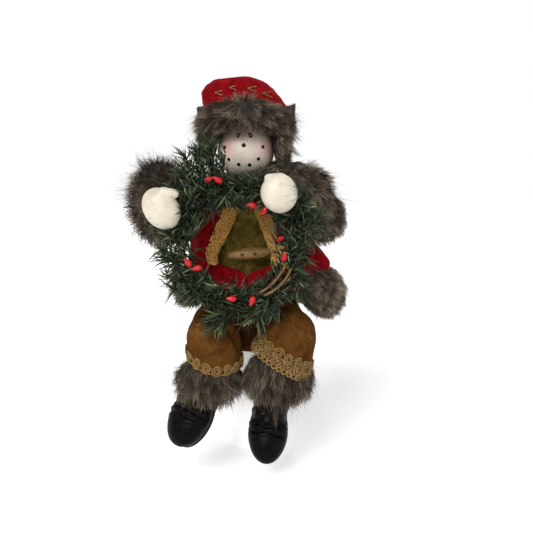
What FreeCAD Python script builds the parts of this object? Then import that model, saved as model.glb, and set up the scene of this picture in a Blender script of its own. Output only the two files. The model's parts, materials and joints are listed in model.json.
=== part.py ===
import FreeCAD, Part
import math
import os
from FreeCAD import Matrix, Rotation, Vector

# Sitting cloth snowman that holds a wreath, in millimetres.
# Origin: on the flat underside of the seat. +Z is up and the figure faces -Y, so +X is its own left.

# --- driving dimensions -------------------------------------------------------------------------
HEAD_R = 20.5                      # painted ball head
HEAD_Z = 147.5                     # height of the ball's centre above the seat
HEAD_Y = -1.0
DOWEL_R = 4.0                      # neck dowel
DOWEL_BOTTOM, DOWEL_TOP = 116.5, 141.0
RUN_GAP = 0.05                     # radial running clearance of a turning fit
BODY_GAP = 0.4                     # gap kept between soft pieces that move against each other

SHOULDER_Y, SHOULDER_Z = 1.0, 114.0
SHOULDER_X = 36.5                  # inner face of each sleeve
WIRE_R = 1.2                       # arm wire

WREATH = Vector(-2.6, -55.0, 86.0)
WREATH_R = 36.5                    # centreline radius of the ring
WREATH_TUBE_R = 11.0               # greenery round the ring's core
WREATH_CORE_R = 2.4
WREATH_TILT = 7.0                  # degrees that the ring leans back
BERRY_R = 2.3

KNEE_Y, KNEE_Z = -45.0, 20.0
THIGH_R = 12.0
THIGH_Z = 26.0
LEG_TUBE_R = 7.5                   # stuffed tube inside each boot

SEAT_CLOTH = 2.0
PELLET_TOP = 24.0                  # the seat holds pellets up to here and stuffing above
COAT_THICKNESS = 3.0
VEST_THICKNESS = 2.0
BRAID_THICKNESS = 2.4
HEM_RING = (8.0, 52.0, 33.0, 48.5)  # fur roll of the coat: centre x, half width, half depth, height
HEM_ROLL_R, HEM_ROLL_HALF_HEIGHT = 12.5, 16.5
HEM_ENDS = (-50.0, 226.0)          # degrees from +X, where the roll starts and stops at the front
HEM_BAND = 2.4                     # how far the scroll braid stands out from a trouser hem
HEM_BAND_HEIGHT = 8.0
COLLAR_Z, COLLAR_LEAN = 127.0, 5.0  # height of the middle, and degrees that the left side is raised
COLLAR_R, COLLAR_TUBE_R = 22.8, 7.5

TOGGLE = Vector(2.6, -32.5, 77.0)
TOGGLE_LENGTH = 29.6
TOGGLE_R, TOGGLE_END_R = 4.2, 2.5
TOGGLE_TILT = 5.0                  # degrees that its left end is raised
TOGGLE_HOLE_R, TOGGLE_HOLE_X = 1.2, 4.5

# Cap: radius and height corners of the crown's cloth and of the stuffing inside it.
CROWN_OUTSIDE = [(24.0, 166), (25.0, 175), (29.6, 184), (26.5, 193.5), (15.0, 198.4), (0, 199.2)]
CROWN_INSIDE = [(22.4, 166), (23.2, 175.5), (27.4, 184), (24.6, 192.1), (14.0, 196.3), (0, 197)]
LINING_THICKNESS = 2.2
BROW_Z = 163.0                     # the lining covers the head above this height
BRIM_R, BRIM_HALF_WIDTH, BRIM_HALF_HEIGHT, BRIM_Z = 28.8, 5.76, 10.5, 172.0
BACK_FLAP = [(34.0, 162), (36.2, 162), (36.2, 181), (34.0, 181)]
EAR_FLAP_RADII = (6.8, 12.0, 17.0)
EAR_FLAPS = {"right": Vector(-27.0, -9.0, 160.5), "left": Vector(27.0, -9.0, 157.0)}

# Boot, seen from the ankle: X across, Y along the foot to the toe, Z towards the sole.
FOOT_CENTRE = Vector(0, 8.5, 1.5)
FOOT_LENGTH_R, FOOT_DEPTH_R = 24.0, 11.5
SHAFT_R, SHAFT_TOP_R = 13.2, 14.5
SOLE_FACE, SOLE_THICKNESS, SOLE_EDGE = 8.5, 2.6, 0.6
HEEL_R, HEEL_HEIGHT, HEEL_FRONT = 9.0, 4.5, 0.0
SHAFT_SHARE = 0.42                 # the shaft ends this far from the ankle to the knee

# Berries: angle on the ring in degrees from +X, and distance from the ring's centre.
BERRIES = [(115, 47), (108, 44), (72, 27), (53, 27.5), (8, 26), (-15, 30), (209, 31), (199, 35), (-98, 35),
           (-77, 37)]
# Vine twigs: ring radius, first and last angle.
TWIGS = [(34.5, -70, -28), (38.5, -66, -25)]
TWIG_R, TWIG_FORWARD = 1.1, 12.6

# Body outlines: height, centre x, half width, half depth.  All are centred on TORSO_Y.
TORSO_Y = 4.0
TORSO = [(44, 1, 31, 22), (66, 1, 32, 24.5), (90, 0, 29, 22), (110, 0, 24, 18), (123, 0, 14, 12)]
COAT = [(47, 5, 50, 32), (66, 10, 53, 31), (76, 7, 49, 30), (86, 2, 42, 28.5), (94, 0, 34.5, 27),
        (110, 0, 30, 23), (124, 0, 17.5, 15)]
COAT_OPENING = [(-1, 122), (3, 122), (23, 40), (-24, 40)]
VEST_FRONT = [(-4, 119), (4, 119), (30, 48), (-30, 48)]
COAT_BRAIDS = {"right": [(-1, 118), (-9, 118), (-29, 51), (-20.8, 51)],
               "left": [(2, 118), (10, 118), (28, 51), (20, 51)]}
SEAT_Y = 6.0
SEAT = [(0, 2, 33, 20), (10, 2, 38, 23), (30, 2, 38.5, 24), (44, 2, 34, 22)]

# One entry per leg.  tilt is the hem's slope across the leg, dip its slope towards the front.
LEGS = {
    "right": {"x": -21.5, "knee_r": 19.5, "hem": Vector(-20.5, -45.0, 3.0), "hem_r": 19.5,
              "tilt": 10.0, "dip": 12.0, "cuff": Vector(-23.5, -45.0, -10.5), "cuff_r": (21, 18.5, 16.5),
              "foot_r": 16.3, "ankle": Vector(-36.0, -43.0, -28.0), "toe": Vector(-0.34, -0.52, -0.78)},
    "left": {"x": 27.0, "knee_r": 20.5, "hem": Vector(27.0, -45.5, 6.5), "hem_r": 22.5,
             "tilt": 31.0, "dip": 0.0, "cuff": Vector(25.3, -45.0, -7.0), "cuff_r": (22.5, 19.5, 20),
             "foot_r": 14.4,
             "ankle": Vector(16.5, -43.5, -39.0), "toe": Vector(-0.06, -0.55, -0.83)},
}

# One entry per arm: elbow, wrist, sleeve radius, fur cuff and mitten.
ARMS = {
    "right": {"side": -1, "elbow": Vector(-61, -12, 110), "wrist": Vector(-57, -36, 111), "sleeve_r": 17.0,
              "cuff": Vector(-57, -33, 114), "cuff_r": (24, 12, 30), "palm": Vector(-53, -62, 110.5),
              "palm_size": (14.6, 11.6), "palm_axis": Vector(-0.55, 0.0, 0.83),
              "thumb": Vector(-45.5, -66, 121.0), "thumb_dir": Vector(0.95, 0.0, 0.3)},
    "left": {"side": 1, "elbow": Vector(53, -6, 104), "wrist": Vector(37, -36, 117), "sleeve_r": 18.0,
             "cuff": Vector(43, -38, 120), "cuff_r": (17, 10, 19), "palm": Vector(23, -68, 120.7),
             "palm_size": (12.4, 11.6), "palm_axis": Vector(1.0, 0.0, 0.2),
             "thumb": Vector(16.0, -68, 130.5), "thumb_dir": Vector(-0.8, 0.0, 0.6)},
}


# --- small helpers ------------------------------------------------------------------------------
def ellipsoid(centre, radii):
    """Ellipsoid with half axes along X, Y, Z."""
    scale = Matrix()
    scale.scale(*radii)
    shape = Part.makeSphere(1.0).transformGeometry(scale)
    shape.translate(centre)
    return shape


def spheroid(centre, half_length, radius, axis):
    """Egg-like solid of revolution about an axis."""
    curve = Part.Ellipse(Vector(0, 0, 0), half_length, radius) if half_length > radius else \
        Part.Circle(Vector(0, 0, 0), Vector(0, 0, 1), radius)
    half = curve.toShape(0, math.pi)
    face = Part.Face(Part.Wire([half, Part.makeLine(half.lastVertex().Point, half.firstVertex().Point)]))
    shape = face.revolve(Vector(0, 0, 0), Vector(1, 0, 0), 360)
    turn = Rotation(Vector(1, 0, 0), axis)
    shape.rotate(Vector(0, 0, 0), turn.Axis, math.degrees(turn.Angle))
    shape.translate(centre)
    return shape


def ball(centre, radius):
    """Sphere about a point."""
    return Part.makeSphere(radius, centre)


def rod(start, end, radius):
    """Round bar from one point to another."""
    run = end - start
    return Part.makeCylinder(radius, run.Length, start, run)


def limb(points, radius):
    """Bent round tube of one radius, rounded at its inner corners and its far end."""
    shape = rod(points[0], points[1], radius)
    for start, end in zip(points[1:], points[2:]):
        shape = shape.fuse(rod(start, end, radius))
    for corner in points[1:]:
        shape = shape.fuse(ball(corner, radius))
    return shape.removeSplitter()


def outline_loft(sections, centre_y, grow=0.0, stretch=0.0):
    """Solid through level ellipses; grow widens it, stretch lengthens it at both ends."""
    wires = []
    last = len(sections) - 1
    for index, (height, x, half_width, half_depth) in enumerate(sections):
        level = height - stretch if index == 0 else height + stretch if index == last else height
        curve = Part.Ellipse(Vector(x, centre_y, level), half_width + grow, half_depth + grow)
        wires.append(Part.Wire(curve.toShape()))
    return Part.makeLoft(wires, True, False)


def front_prism(corners, depth=70.0):
    """Prism along Y through x, z corners, from the figure's middle plane to in front of it."""
    points = [Vector(x, TORSO_Y, z) for x, z in corners]
    face = Part.Face(Part.makePolygon(points + points[:1]))
    return face.extrude(Vector(0, -depth, 0))


def spun(profile_edges):
    """Turn a closed profile in the XZ plane round the head's upright axis."""
    face = Part.Face(Part.Wire(profile_edges))
    shape = face.revolve(Vector(0, 0, 0), Vector(0, 0, 1), 360)
    shape.translate(Vector(0, HEAD_Y, 0))
    return shape


def spun_polygon(corners):
    """Ring or dome with straight sides, from radius and height corners."""
    points = [Vector(radius, 0, height) for radius, height in corners]
    return spun(Part.makePolygon(points + points[:1]).Edges)


def spun_curve(corners):
    """Dome from the axis: a smooth outer curve through radius, height points, closed by the axis."""
    points = [Vector(radius, 0, height) for radius, height in corners]
    curve = Part.BSplineCurve()
    curve.interpolate(points)
    foot, top = Vector(0, 0, corners[0][1]), points[-1]
    edges = [curve.toShape(), Part.makeLine(top, foot), Part.makeLine(foot, points[0])]
    return spun(edges)


def torus_about(centre, ring_r, tube_r, tilt):
    """Ring in the XZ plane, leaned back by tilt degrees."""
    shape = Part.makeTorus(ring_r, tube_r)
    shape.rotate(Vector(0, 0, 0), Vector(1, 0, 0), 90.0 - tilt)
    shape.translate(centre)
    return shape


def wreath_point(angle, ring_r, forward=0.0):
    """Point of the leaning wreath plane: angle in degrees from +X, forward towards the viewer."""
    turn, lean = math.radians(angle), math.radians(WREATH_TILT)
    across, up = ring_r * math.cos(turn), ring_r * math.sin(turn)
    return WREATH + Vector(across, up * math.sin(lean) - forward * math.cos(lean),
                           up * math.cos(lean) + forward * math.sin(lean))


def cut_all(shape, *tools):
    """Take several solids away from one, and keep the largest piece that is left."""
    for tool in tools:
        shape = shape.cut(tool)
    return max(shape.Solids, key=lambda solid: solid.Volume)


# --- seat and body ------------------------------------------------------------------------------
def make_seat():
    """Trouser seat with its pellets and stuffing."""
    outer = outline_loft(SEAT, SEAT_Y)
    inner = outline_loft(SEAT, SEAT_Y, -SEAT_CLOTH, -SEAT_CLOTH)
    above = Part.makeBox(120, 120, 60, Vector(-60, -60, PELLET_TOP))
    return {
        "trouser_seat": outer.cut(inner),
        "pellet_bag": inner.cut(above),
        "seat_stuffing": inner.common(above),
    }


def make_body(seat_outer):
    """Stuffed torso, vest, coat with its trims, toggle and neck dowel."""
    torso = outline_loft(TORSO, TORSO_Y)
    wire_bore = rod(Vector(-60, SHOULDER_Y, SHOULDER_Z), Vector(60, SHOULDER_Y, SHOULDER_Z),
                    WIRE_R + RUN_GAP)
    dowel = rod(Vector(0, HEAD_Y, DOWEL_BOTTOM), Vector(0, HEAD_Y, DOWEL_TOP), DOWEL_R)
    coat_outer = outline_loft(COAT, TORSO_Y)
    coat_inner = outline_loft(COAT, TORSO_Y, -COAT_THICKNESS, 1.0)
    coat = coat_outer.cut(coat_inner).cut(front_prism(COAT_OPENING))
    vest = outline_loft(TORSO, TORSO_Y, VEST_THICKNESS).cut(torso).common(front_prism(VEST_FRONT))
    parts = {
        "torso_body": cut_all(torso, wire_bore, dowel),
        "vest": cut_all(vest, wire_bore, coat),
        "coat_body": cut_all(coat, wire_bore, torso, dowel),
        "neck_dowel": dowel,
        "toggle_button": make_toggle(),
    }
    braid_shell = outline_loft(COAT, TORSO_Y, BRAID_THICKNESS, 1.0).cut(coat_outer)
    for side, band in COAT_BRAIDS.items():
        parts["coat_braid_" + side] = cut_all(braid_shell.common(front_prism(band)))
    parts["coat_hem_fur"] = cut_all(make_coat_hem(coat_outer), parts["coat_braid_right"],
                                    parts["coat_braid_left"], torso, seat_outer)
    collar = Part.makeTorus(COLLAR_R, COLLAR_TUBE_R, Vector(0, HEAD_Y, COLLAR_Z))
    collar.rotate(Vector(0, HEAD_Y, COLLAR_Z), Vector(0, 1, 0), -COLLAR_LEAN)
    parts["collar_fur"] = cut_all(collar, coat_outer, torso)
    return parts


def make_coat_hem(coat_outer):
    """Fur roll round the foot of the coat, open at the front."""
    x, half_width, half_depth, height = HEM_RING
    start, stop = (math.radians(angle) for angle in HEM_ENDS)
    path = Part.Ellipse(Vector(x, TORSO_Y, height), half_width, half_depth).toShape(start, stop)
    foot = Vector(x + half_width * math.cos(start), TORSO_Y + half_depth * math.sin(start), height)
    heading = Vector(-half_width * math.sin(start), half_depth * math.cos(start), 0)
    section = Part.Ellipse(Vector(0, 0, 0), HEM_ROLL_HALF_HEIGHT, HEM_ROLL_R).toShape()
    outward = heading.cross(Vector(0, 0, 1)).normalize()
    heading.normalize()
    section.transformShape(Matrix(0, outward.x, heading.x, foot.x, 0, outward.y, heading.y, foot.y,
                                  1, outward.z, heading.z, foot.z, 0, 0, 0, 1))
    profile = Part.Wire(section)
    roll = Part.Wire(path).makePipeShell([profile], True, True)
    return roll.cut(coat_outer)


def make_toggle():
    """Turned wooden toggle, thicker in the middle, with two sewing holes."""
    reach = TOGGLE_LENGTH / 2
    neck = reach - TOGGLE_END_R
    bow = TOGGLE_END_R * math.sqrt(0.5)
    side = Part.Arc(Vector(-neck, 0, TOGGLE_END_R), Vector(0, 0, TOGGLE_R), Vector(neck, 0, TOGGLE_END_R))
    right = Part.Arc(Vector(neck, 0, TOGGLE_END_R), Vector(neck + bow, 0, bow), Vector(reach, 0, 0))
    left = Part.Arc(Vector(-reach, 0, 0), Vector(-neck - bow, 0, bow), Vector(-neck, 0, TOGGLE_END_R))
    axis = Part.makeLine(Vector(reach, 0, 0), Vector(-reach, 0, 0))
    outline = Part.Wire([left.toShape(), side.toShape(), right.toShape(), axis])
    shape = Part.Face(outline).revolve(Vector(0, 0, 0), Vector(1, 0, 0), 360)
    for offset in (-TOGGLE_HOLE_X, TOGGLE_HOLE_X):
        hole = Vector(offset, 0, 0)
        shape = shape.cut(rod(hole + Vector(0, 9, 0), hole - Vector(0, 9, 0), TOGGLE_HOLE_R))
    shape.rotate(Vector(0, 0, 0), Vector(0, 1, 0), -TOGGLE_TILT)
    shape.translate(TOGGLE)
    return shape


# --- head and cap -------------------------------------------------------------------------------
def make_brim():
    """Fur ring round the cap, taller than it is thick."""
    shape = Part.makeTorus(1.0, BRIM_HALF_WIDTH / BRIM_R)
    stretch = Matrix()
    stretch.scale(BRIM_R, BRIM_R, BRIM_HALF_HEIGHT * BRIM_R / BRIM_HALF_WIDTH)
    shape = shape.transformGeometry(stretch)
    shape.translate(Vector(0, HEAD_Y, BRIM_Z))
    return shape


def make_head():
    """Painted ball and the cap that is glued to it."""
    solid_ball = ball(Vector(0, HEAD_Y, HEAD_Z), HEAD_R)
    bore = rod(Vector(0, HEAD_Y, HEAD_Z - 2 * HEAD_R), Vector(0, HEAD_Y, DOWEL_TOP + 0.5), DOWEL_R + RUN_GAP)
    above_brow = Part.makeBox(80, 80, 60, Vector(-40, -40, BROW_Z))
    lining = ball(Vector(0, HEAD_Y, HEAD_Z), HEAD_R + LINING_THICKNESS).common(above_brow).cut(solid_ball)
    crown_outer = spun_curve(CROWN_OUTSIDE)
    crown_inner = spun_curve(CROWN_INSIDE)
    brim = make_brim()
    rear = Part.makeBox(100, 60, 60, Vector(-50, HEAD_Y - 3, 140))
    parts = {
        "head_ball": solid_ball.cut(bore),
        "cap_lining": cut_all(lining),
        "cap_crown": cut_all(crown_outer, crown_inner, solid_ball, lining),
        "cap_stuffing": cut_all(crown_inner, solid_ball, lining),
        "cap_brim_fur": cut_all(brim, crown_outer, lining),
        "cap_back_flap": cut_all(spun_polygon(BACK_FLAP).common(rear), brim),
    }
    for side, centre in EAR_FLAPS.items():
        flap = ellipsoid(centre, EAR_FLAP_RADII)
        parts["ear_flap_" + side] = cut_all(flap, solid_ball, brim, crown_outer, lining)
    return parts


# --- arms and wreath ----------------------------------------------------------------------------
def make_mitten(arm):
    """Egg-shaped mitten with a thumb and a wrist peg that goes into the sleeve."""
    palm = spheroid(arm["palm"], *arm["palm_size"], arm["palm_axis"])
    thumb_reach = arm["thumb_dir"] * 4.5
    thumb = limb([arm["thumb"] - thumb_reach, arm["thumb"] + thumb_reach], 3.3)
    peg = rod(arm["palm"], arm["wrist"], 5.5)
    return cut_all(palm.fuse([thumb, peg]).removeSplitter())


def make_arms():
    """Arm wire, sleeves, cuffs and mittens, with the wreath that both hands hold."""
    right, left = ARMS["right"], ARMS["left"]
    shoulders = {side: Vector(arm["side"] * SHOULDER_X, SHOULDER_Y, SHOULDER_Z) for side, arm in ARMS.items()}
    wire = limb([right["wrist"], right["elbow"], shoulders["right"], shoulders["left"], left["elbow"],
                 left["wrist"]], WIRE_R)
    greenery = torus_about(WREATH, WREATH_R, WREATH_TUBE_R, WREATH_TILT)
    core = torus_about(WREATH, WREATH_R, WREATH_CORE_R, WREATH_TILT)
    mittens = {side: make_mitten(arm) for side, arm in ARMS.items()}
    wire = cut_all(wire, mittens["right"], mittens["left"])
    chest_space = Part.makeBox(2 * SHOULDER_X, 60, 100, Vector(-SHOULDER_X, -24, 70))
    parts = {"arm_wire": wire}
    for side, arm in ARMS.items():
        mitten = mittens[side]
        sleeve = limb([shoulders[side], arm["elbow"], arm["wrist"]], arm["sleeve_r"])
        sleeve = cut_all(sleeve, chest_space, wire, mitten, greenery)
        cuff = ellipsoid(arm["cuff"], arm["cuff_r"])
        parts["sleeve_" + side] = sleeve
        parts["cuff_fur_" + side] = cut_all(cuff, sleeve, mitten, wire, greenery)
        parts["mitten_" + side] = mitten
    parts["wreath_core"] = cut_all(core, mittens["right"], mittens["left"])
    parts["wreath_greenery"] = cut_all(greenery, core, mittens["right"], mittens["left"])
    parts["wreath_berries"] = make_berries()
    parts["wreath_twigs"] = make_twigs()
    return parts


def make_berries():
    """Red berries on the front of the greenery, as one group of balls."""
    balls = []
    for angle, ring_r in BERRIES:
        offset = ring_r - WREATH_R
        forward = math.sqrt((WREATH_TUBE_R + BERRY_R + RUN_GAP) ** 2 - offset ** 2)
        balls.append(ball(wreath_point(angle, ring_r, forward), BERRY_R))
    return Part.makeCompound(balls)


def make_twigs():
    """Two bare vine twigs that run side by side along the lower front of the ring."""
    twigs = []
    for ring_r, first, last in TWIGS:
        start, middle, end = (wreath_point(angle, ring_r, TWIG_FORWARD)
                              for angle in (first, (first + last) / 2, last))
        path = Part.Arc(start, middle, end)
        profile = Part.Wire(Part.makeCircle(TWIG_R, start, path.tangent(path.FirstParameter)[0]))
        twigs.append(Part.Wire(path.toShape()).makePipeShell([profile], True, True))
    return Part.makeCompound(twigs)


# --- legs ---------------------------------------------------------------------------------------
def hem_normal(leg):
    """Upward normal of the tilted hem plane."""
    across = Rotation(Vector(0, 1, 0), leg["tilt"])
    forward = Rotation(Vector(1, 0, 0), leg["dip"])
    return forward.multVec(across.multVec(Vector(0, 0, 1)))


def hem_ring(leg):
    """Circle of the hem, with its seam where the knee's circle has it."""
    ring = Part.Wire(Part.makeCircle(leg["hem_r"]))
    ring.rotate(Vector(0, 0, 0), Vector(0, 1, 0), leg["tilt"])
    ring.rotate(Vector(0, 0, 0), Vector(1, 0, 0), leg["dip"])
    ring.translate(leg["hem"])
    return ring


def hem_disc(leg, radius, low, high):
    """Tilted round slab about a trouser hem, from low to high along the hem's normal."""
    normal = hem_normal(leg)
    return rod(leg["hem"] + normal * low, leg["hem"] + normal * high, radius)


def boot_frame(toe):
    """Matrix whose columns are a boot's own axes: across, along to the toe, and towards the sole."""
    along = Vector(toe).normalize()
    across = Vector(0, 0, 1).cross(along).normalize()
    under = across.cross(along).normalize()
    if under.z > 0:
        under = under * -1
    return Matrix(across.x, along.x, under.x, 0, across.y, along.y, under.y, 0, across.z, along.z, under.z, 0,
                  0, 0, 0, 1)


def make_boot(ankle, toe, wide, shaft_top):
    """Soft boot with its toe drooping: upper, sole and heel as separate solids."""
    frame = boot_frame(toe)
    long, deep = FOOT_LENGTH_R, FOOT_DEPTH_R
    below = Part.makeBox(60, 80, 40, Vector(-30, -40, SOLE_FACE))
    slab = Part.makeBox(60, 80, SOLE_THICKNESS, Vector(-30, -40, SOLE_FACE))
    heel_face = SOLE_FACE + SOLE_THICKNESS
    foot = ellipsoid(FOOT_CENTRE, (wide, long, deep)).cut(below)
    sole = ellipsoid(FOOT_CENTRE, (wide + SOLE_EDGE, long + SOLE_EDGE, deep + 3.0)).common(slab)
    heel = Part.makeCylinder(HEEL_R, HEEL_HEIGHT, Vector(0, HEEL_FRONT - 3.5, heel_face)).common(
        Part.makeBox(40, 14, 10, Vector(-20, HEEL_FRONT - 14, heel_face)))
    placed = []
    for shape in (foot, sole, heel):
        shape = shape.transformGeometry(frame)
        shape.translate(ankle)
        placed.append(shape)
    foot, sole, heel = placed
    shaft = Part.makeCone(SHAFT_R, SHAFT_TOP_R, (shaft_top - ankle).Length, ankle, shaft_top - ankle)
    upper = foot.fuse(shaft).fuse(ball(ankle, SHAFT_R)).removeSplitter()
    return cut_all(upper, sole, heel), cut_all(sole), cut_all(heel)


def make_leg(side, leg):
    """One hanging leg, from the knee down."""
    knee = Vector(leg["x"], KNEE_Y, KNEE_Z)
    tube = rod(knee, leg["ankle"], LEG_TUBE_R).fuse(ball(leg["ankle"], LEG_TUBE_R)).removeSplitter()
    shaft_top = leg["ankle"] + (knee - leg["ankle"]) * SHAFT_SHARE
    upper, sole, heel = make_boot(leg["ankle"], leg["toe"], leg["foot_r"], shaft_top)
    knee_ring = Part.Wire(Part.makeCircle(leg["knee_r"], knee, Vector(0, 0, 1)))
    flare = Part.makeLoft([hem_ring(leg), knee_ring], True, True)
    dome = Part.makeSphere(leg["knee_r"], knee, Vector(0, 0, 1), 0, 90, 360)
    trouser = cut_all(dome.fuse(flare))
    band = hem_disc(leg, leg["hem_r"] + HEM_BAND, 0.0, HEM_BAND_HEIGHT)
    band = band.cut(hem_disc(leg, leg["hem_r"] - 1.2, -1.0, HEM_BAND_HEIGHT + 1.0))
    braid = cut_all(band, trouser)
    trouser = cut_all(trouser, tube, upper)
    cuff = cut_all(ellipsoid(leg["cuff"], leg["cuff_r"]), trouser, braid, tube, upper)
    return {
        "trouser_leg_" + side: trouser,
        "hem_braid_" + side: braid,
        "boot_fur_" + side: cuff,
        "leg_tube_" + side: cut_all(tube),
        "boot_upper_" + side: cut_all(upper, tube),
        "boot_sole_" + side: cut_all(sole, tube),
        "boot_heel_" + side: heel,
    }


def make_thigh(leg, seat):
    """Short stuffed thigh from the seat to a cup that the knee turns in."""
    knee = Vector(leg["x"], KNEE_Y, KNEE_Z)
    thigh = rod(Vector(leg["x"], 8.0, THIGH_Z), Vector(leg["x"], KNEE_Y, THIGH_Z), THIGH_R)
    hem_space = rod(leg["hem"] - Vector(0, 0, 30), leg["hem"] + Vector(0, 0, 18),
                    leg["hem_r"] + HEM_BAND + 2 * BODY_GAP)
    return cut_all(thigh, seat, ball(knee, leg["knee_r"] + BODY_GAP), hem_space)


def build():
    """Every node of the figure, by name."""
    seat_solid = outline_loft(SEAT, SEAT_Y)
    parts = make_seat()
    parts.update(make_body(seat_solid))
    parts.update(make_head())
    parts.update(make_arms())
    for side, leg in LEGS.items():
        knee_space = ball(Vector(leg["x"], KNEE_Y, KNEE_Z), leg["knee_r"] + 2 * BODY_GAP)
        parts["thigh_" + side] = make_thigh(leg, seat_solid)
        parts["coat_hem_fur"] = cut_all(parts["coat_hem_fur"], parts["thigh_" + side], knee_space)
        parts.update(make_leg(side, leg))
    return parts


def main():
    """Write each node to its own STEP file."""
    os.makedirs("parts", exist_ok=True)
    for name, shape in build().items():
        if not shape.isValid():
            raise RuntimeError(name + " is not a valid solid")
        shape.exportStep("parts/" + name + ".step")
        box = shape.optimalBoundingBox(True, False)
        print(f"{name:20s} {shape.Volume:9.0f} mm3  x {box.XMin:6.1f}..{box.XMax:6.1f}"
              f"  y {box.YMin:6.1f}..{box.YMax:6.1f}  z {box.ZMin:6.1f}..{box.ZMax:6.1f}")


main()
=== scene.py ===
import json
import math

import bmesh
import bpy
import numpy as np
from mathutils import Matrix, Vector, noise
from mathutils.bvhtree import BVHTree
from mathutils.kdtree import KDTree


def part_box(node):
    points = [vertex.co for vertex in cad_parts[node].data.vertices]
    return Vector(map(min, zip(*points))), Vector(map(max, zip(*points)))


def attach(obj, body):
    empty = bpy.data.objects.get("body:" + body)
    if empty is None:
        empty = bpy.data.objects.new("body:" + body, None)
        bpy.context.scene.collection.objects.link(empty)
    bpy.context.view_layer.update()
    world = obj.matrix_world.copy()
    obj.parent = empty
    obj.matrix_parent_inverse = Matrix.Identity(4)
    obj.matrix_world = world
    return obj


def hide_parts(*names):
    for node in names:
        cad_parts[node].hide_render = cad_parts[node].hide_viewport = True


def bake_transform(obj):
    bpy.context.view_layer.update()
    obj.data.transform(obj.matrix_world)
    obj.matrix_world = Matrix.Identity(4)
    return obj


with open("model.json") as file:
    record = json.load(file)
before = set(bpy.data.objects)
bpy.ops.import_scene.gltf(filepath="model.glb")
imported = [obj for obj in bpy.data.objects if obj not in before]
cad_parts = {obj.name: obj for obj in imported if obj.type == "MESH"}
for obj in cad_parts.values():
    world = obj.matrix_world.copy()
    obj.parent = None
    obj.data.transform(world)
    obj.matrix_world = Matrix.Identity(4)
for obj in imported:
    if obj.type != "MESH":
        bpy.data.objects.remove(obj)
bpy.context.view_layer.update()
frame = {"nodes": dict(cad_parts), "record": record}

# Sitting snowman doll.  Lengths are metres; MM turns millimetres into metres.
# The doll faces -Y, +Z is up and +X is the doll's own left.
MM = 0.001
RNG = np.random.default_rng(20)
UV_NAME = "OFBake"
SIDES = {"right": -1, "left": 1}


# --- places taken from the frame ----------------------------------------------------------------
def node_centre(node):
    """Middle of a CAD node's box."""
    low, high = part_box(node)
    return (Vector(low) + Vector(high)) / 2


def node_half(node):
    """Half the size of a CAD node's box."""
    low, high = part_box(node)
    return (Vector(high) - Vector(low)) / 2


def joint_named(name):
    """One joint of the record."""
    return next(joint for joint in frame["record"]["behaviour"]["joints"] if joint["name"] == name)


HEAD = node_centre("head_ball")
HEAD_R = node_half("head_ball").x
HEAD.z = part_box("head_ball")[1][2] - HEAD_R
RING = node_centre("wreath_core")
RING_LEAN = math.radians(7)
RING_WIRE_R = 2.4 * MM
RING_R = node_half("wreath_core").x - RING_WIRE_R
KNEES = {side: Vector(joint_named("knee_" + side)["pos_m"]) for side in SIDES}


def on_ring(angle, radius, forward=0.0):
    """Point in the leaning plane of the wreath; angle in radians from +X, forward to the viewer."""
    up = radius * math.sin(angle)
    return RING + Vector((radius * math.cos(angle),
                          up * math.sin(RING_LEAN) - forward * math.cos(RING_LEAN),
                          up * math.cos(RING_LEAN) + forward * math.sin(RING_LEAN)))


# --- mesh helpers -------------------------------------------------------------------------------
def add_object(name, mesh, body, material):
    """Link a mesh as a piece that rides on a body; material is a key of MATS."""
    piece = bpy.data.objects.new(name, mesh)
    bpy.context.scene.collection.objects.link(piece)
    mesh.materials.append(MATS[material])
    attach(piece, body)
    return piece


def add_joined(name, meshes, body, material):
    """One piece from several meshes."""
    return add_object(name, join_meshes(name, meshes), body, material)


def repaint(node, material):
    """Give a CAD node that stays visible its finish."""
    finishes = frame["nodes"][node].data.materials
    finishes.clear()
    finishes.append(MATS[material])


def circle(count):
    """Angles once round, the last a step short of the first."""
    return np.linspace(0, 2 * math.pi, count, endpoint=False)


def shade_smooth(mesh):
    """Smooth shading on every face."""
    mesh.polygons.foreach_set("use_smooth", np.ones(len(mesh.polygons), dtype=bool))


def list_mesh(name, points, faces):
    """Mesh from lists of points and faces."""
    mesh = bpy.data.meshes.new(name)
    mesh.from_pydata([tuple(p) for p in points], [], faces)
    shade_smooth(mesh)
    mesh.update()
    return mesh


def fast_mesh(name, points, faces, uv):
    """Mesh from arrays, with a map; every face has the same number of corners."""
    points = np.asarray(points, dtype=np.float32).reshape(-1, 3)
    faces = np.asarray(faces, dtype=np.int32)
    mesh = bpy.data.meshes.new(name)
    mesh.vertices.add(len(points))
    mesh.vertices.foreach_set("co", points.ravel())
    mesh.loops.add(faces.size)
    mesh.loops.foreach_set("vertex_index", faces.ravel())
    mesh.polygons.add(len(faces))
    mesh.polygons.foreach_set("loop_start", np.arange(len(faces), dtype=np.int32) * faces.shape[1])
    shade_smooth(mesh)
    mesh.update(calc_edges=True)
    layer = mesh.uv_layers.new(name=UV_NAME)
    layer.data.foreach_set("uv", np.asarray(uv, dtype=np.float32)[faces.ravel()].ravel())
    return mesh


def ring_faces(rings, sides, closed):
    """Quads between stacked rings of points."""
    row, col = np.meshgrid(np.arange(rings - 1), np.arange(sides if closed else sides - 1), indexing="ij")
    nxt = (col + 1) % sides
    low, high = row * sides, (row + 1) * sides
    return np.stack([low + col, low + nxt, high + nxt, high + col], -1).reshape(-1, 4)


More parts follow.
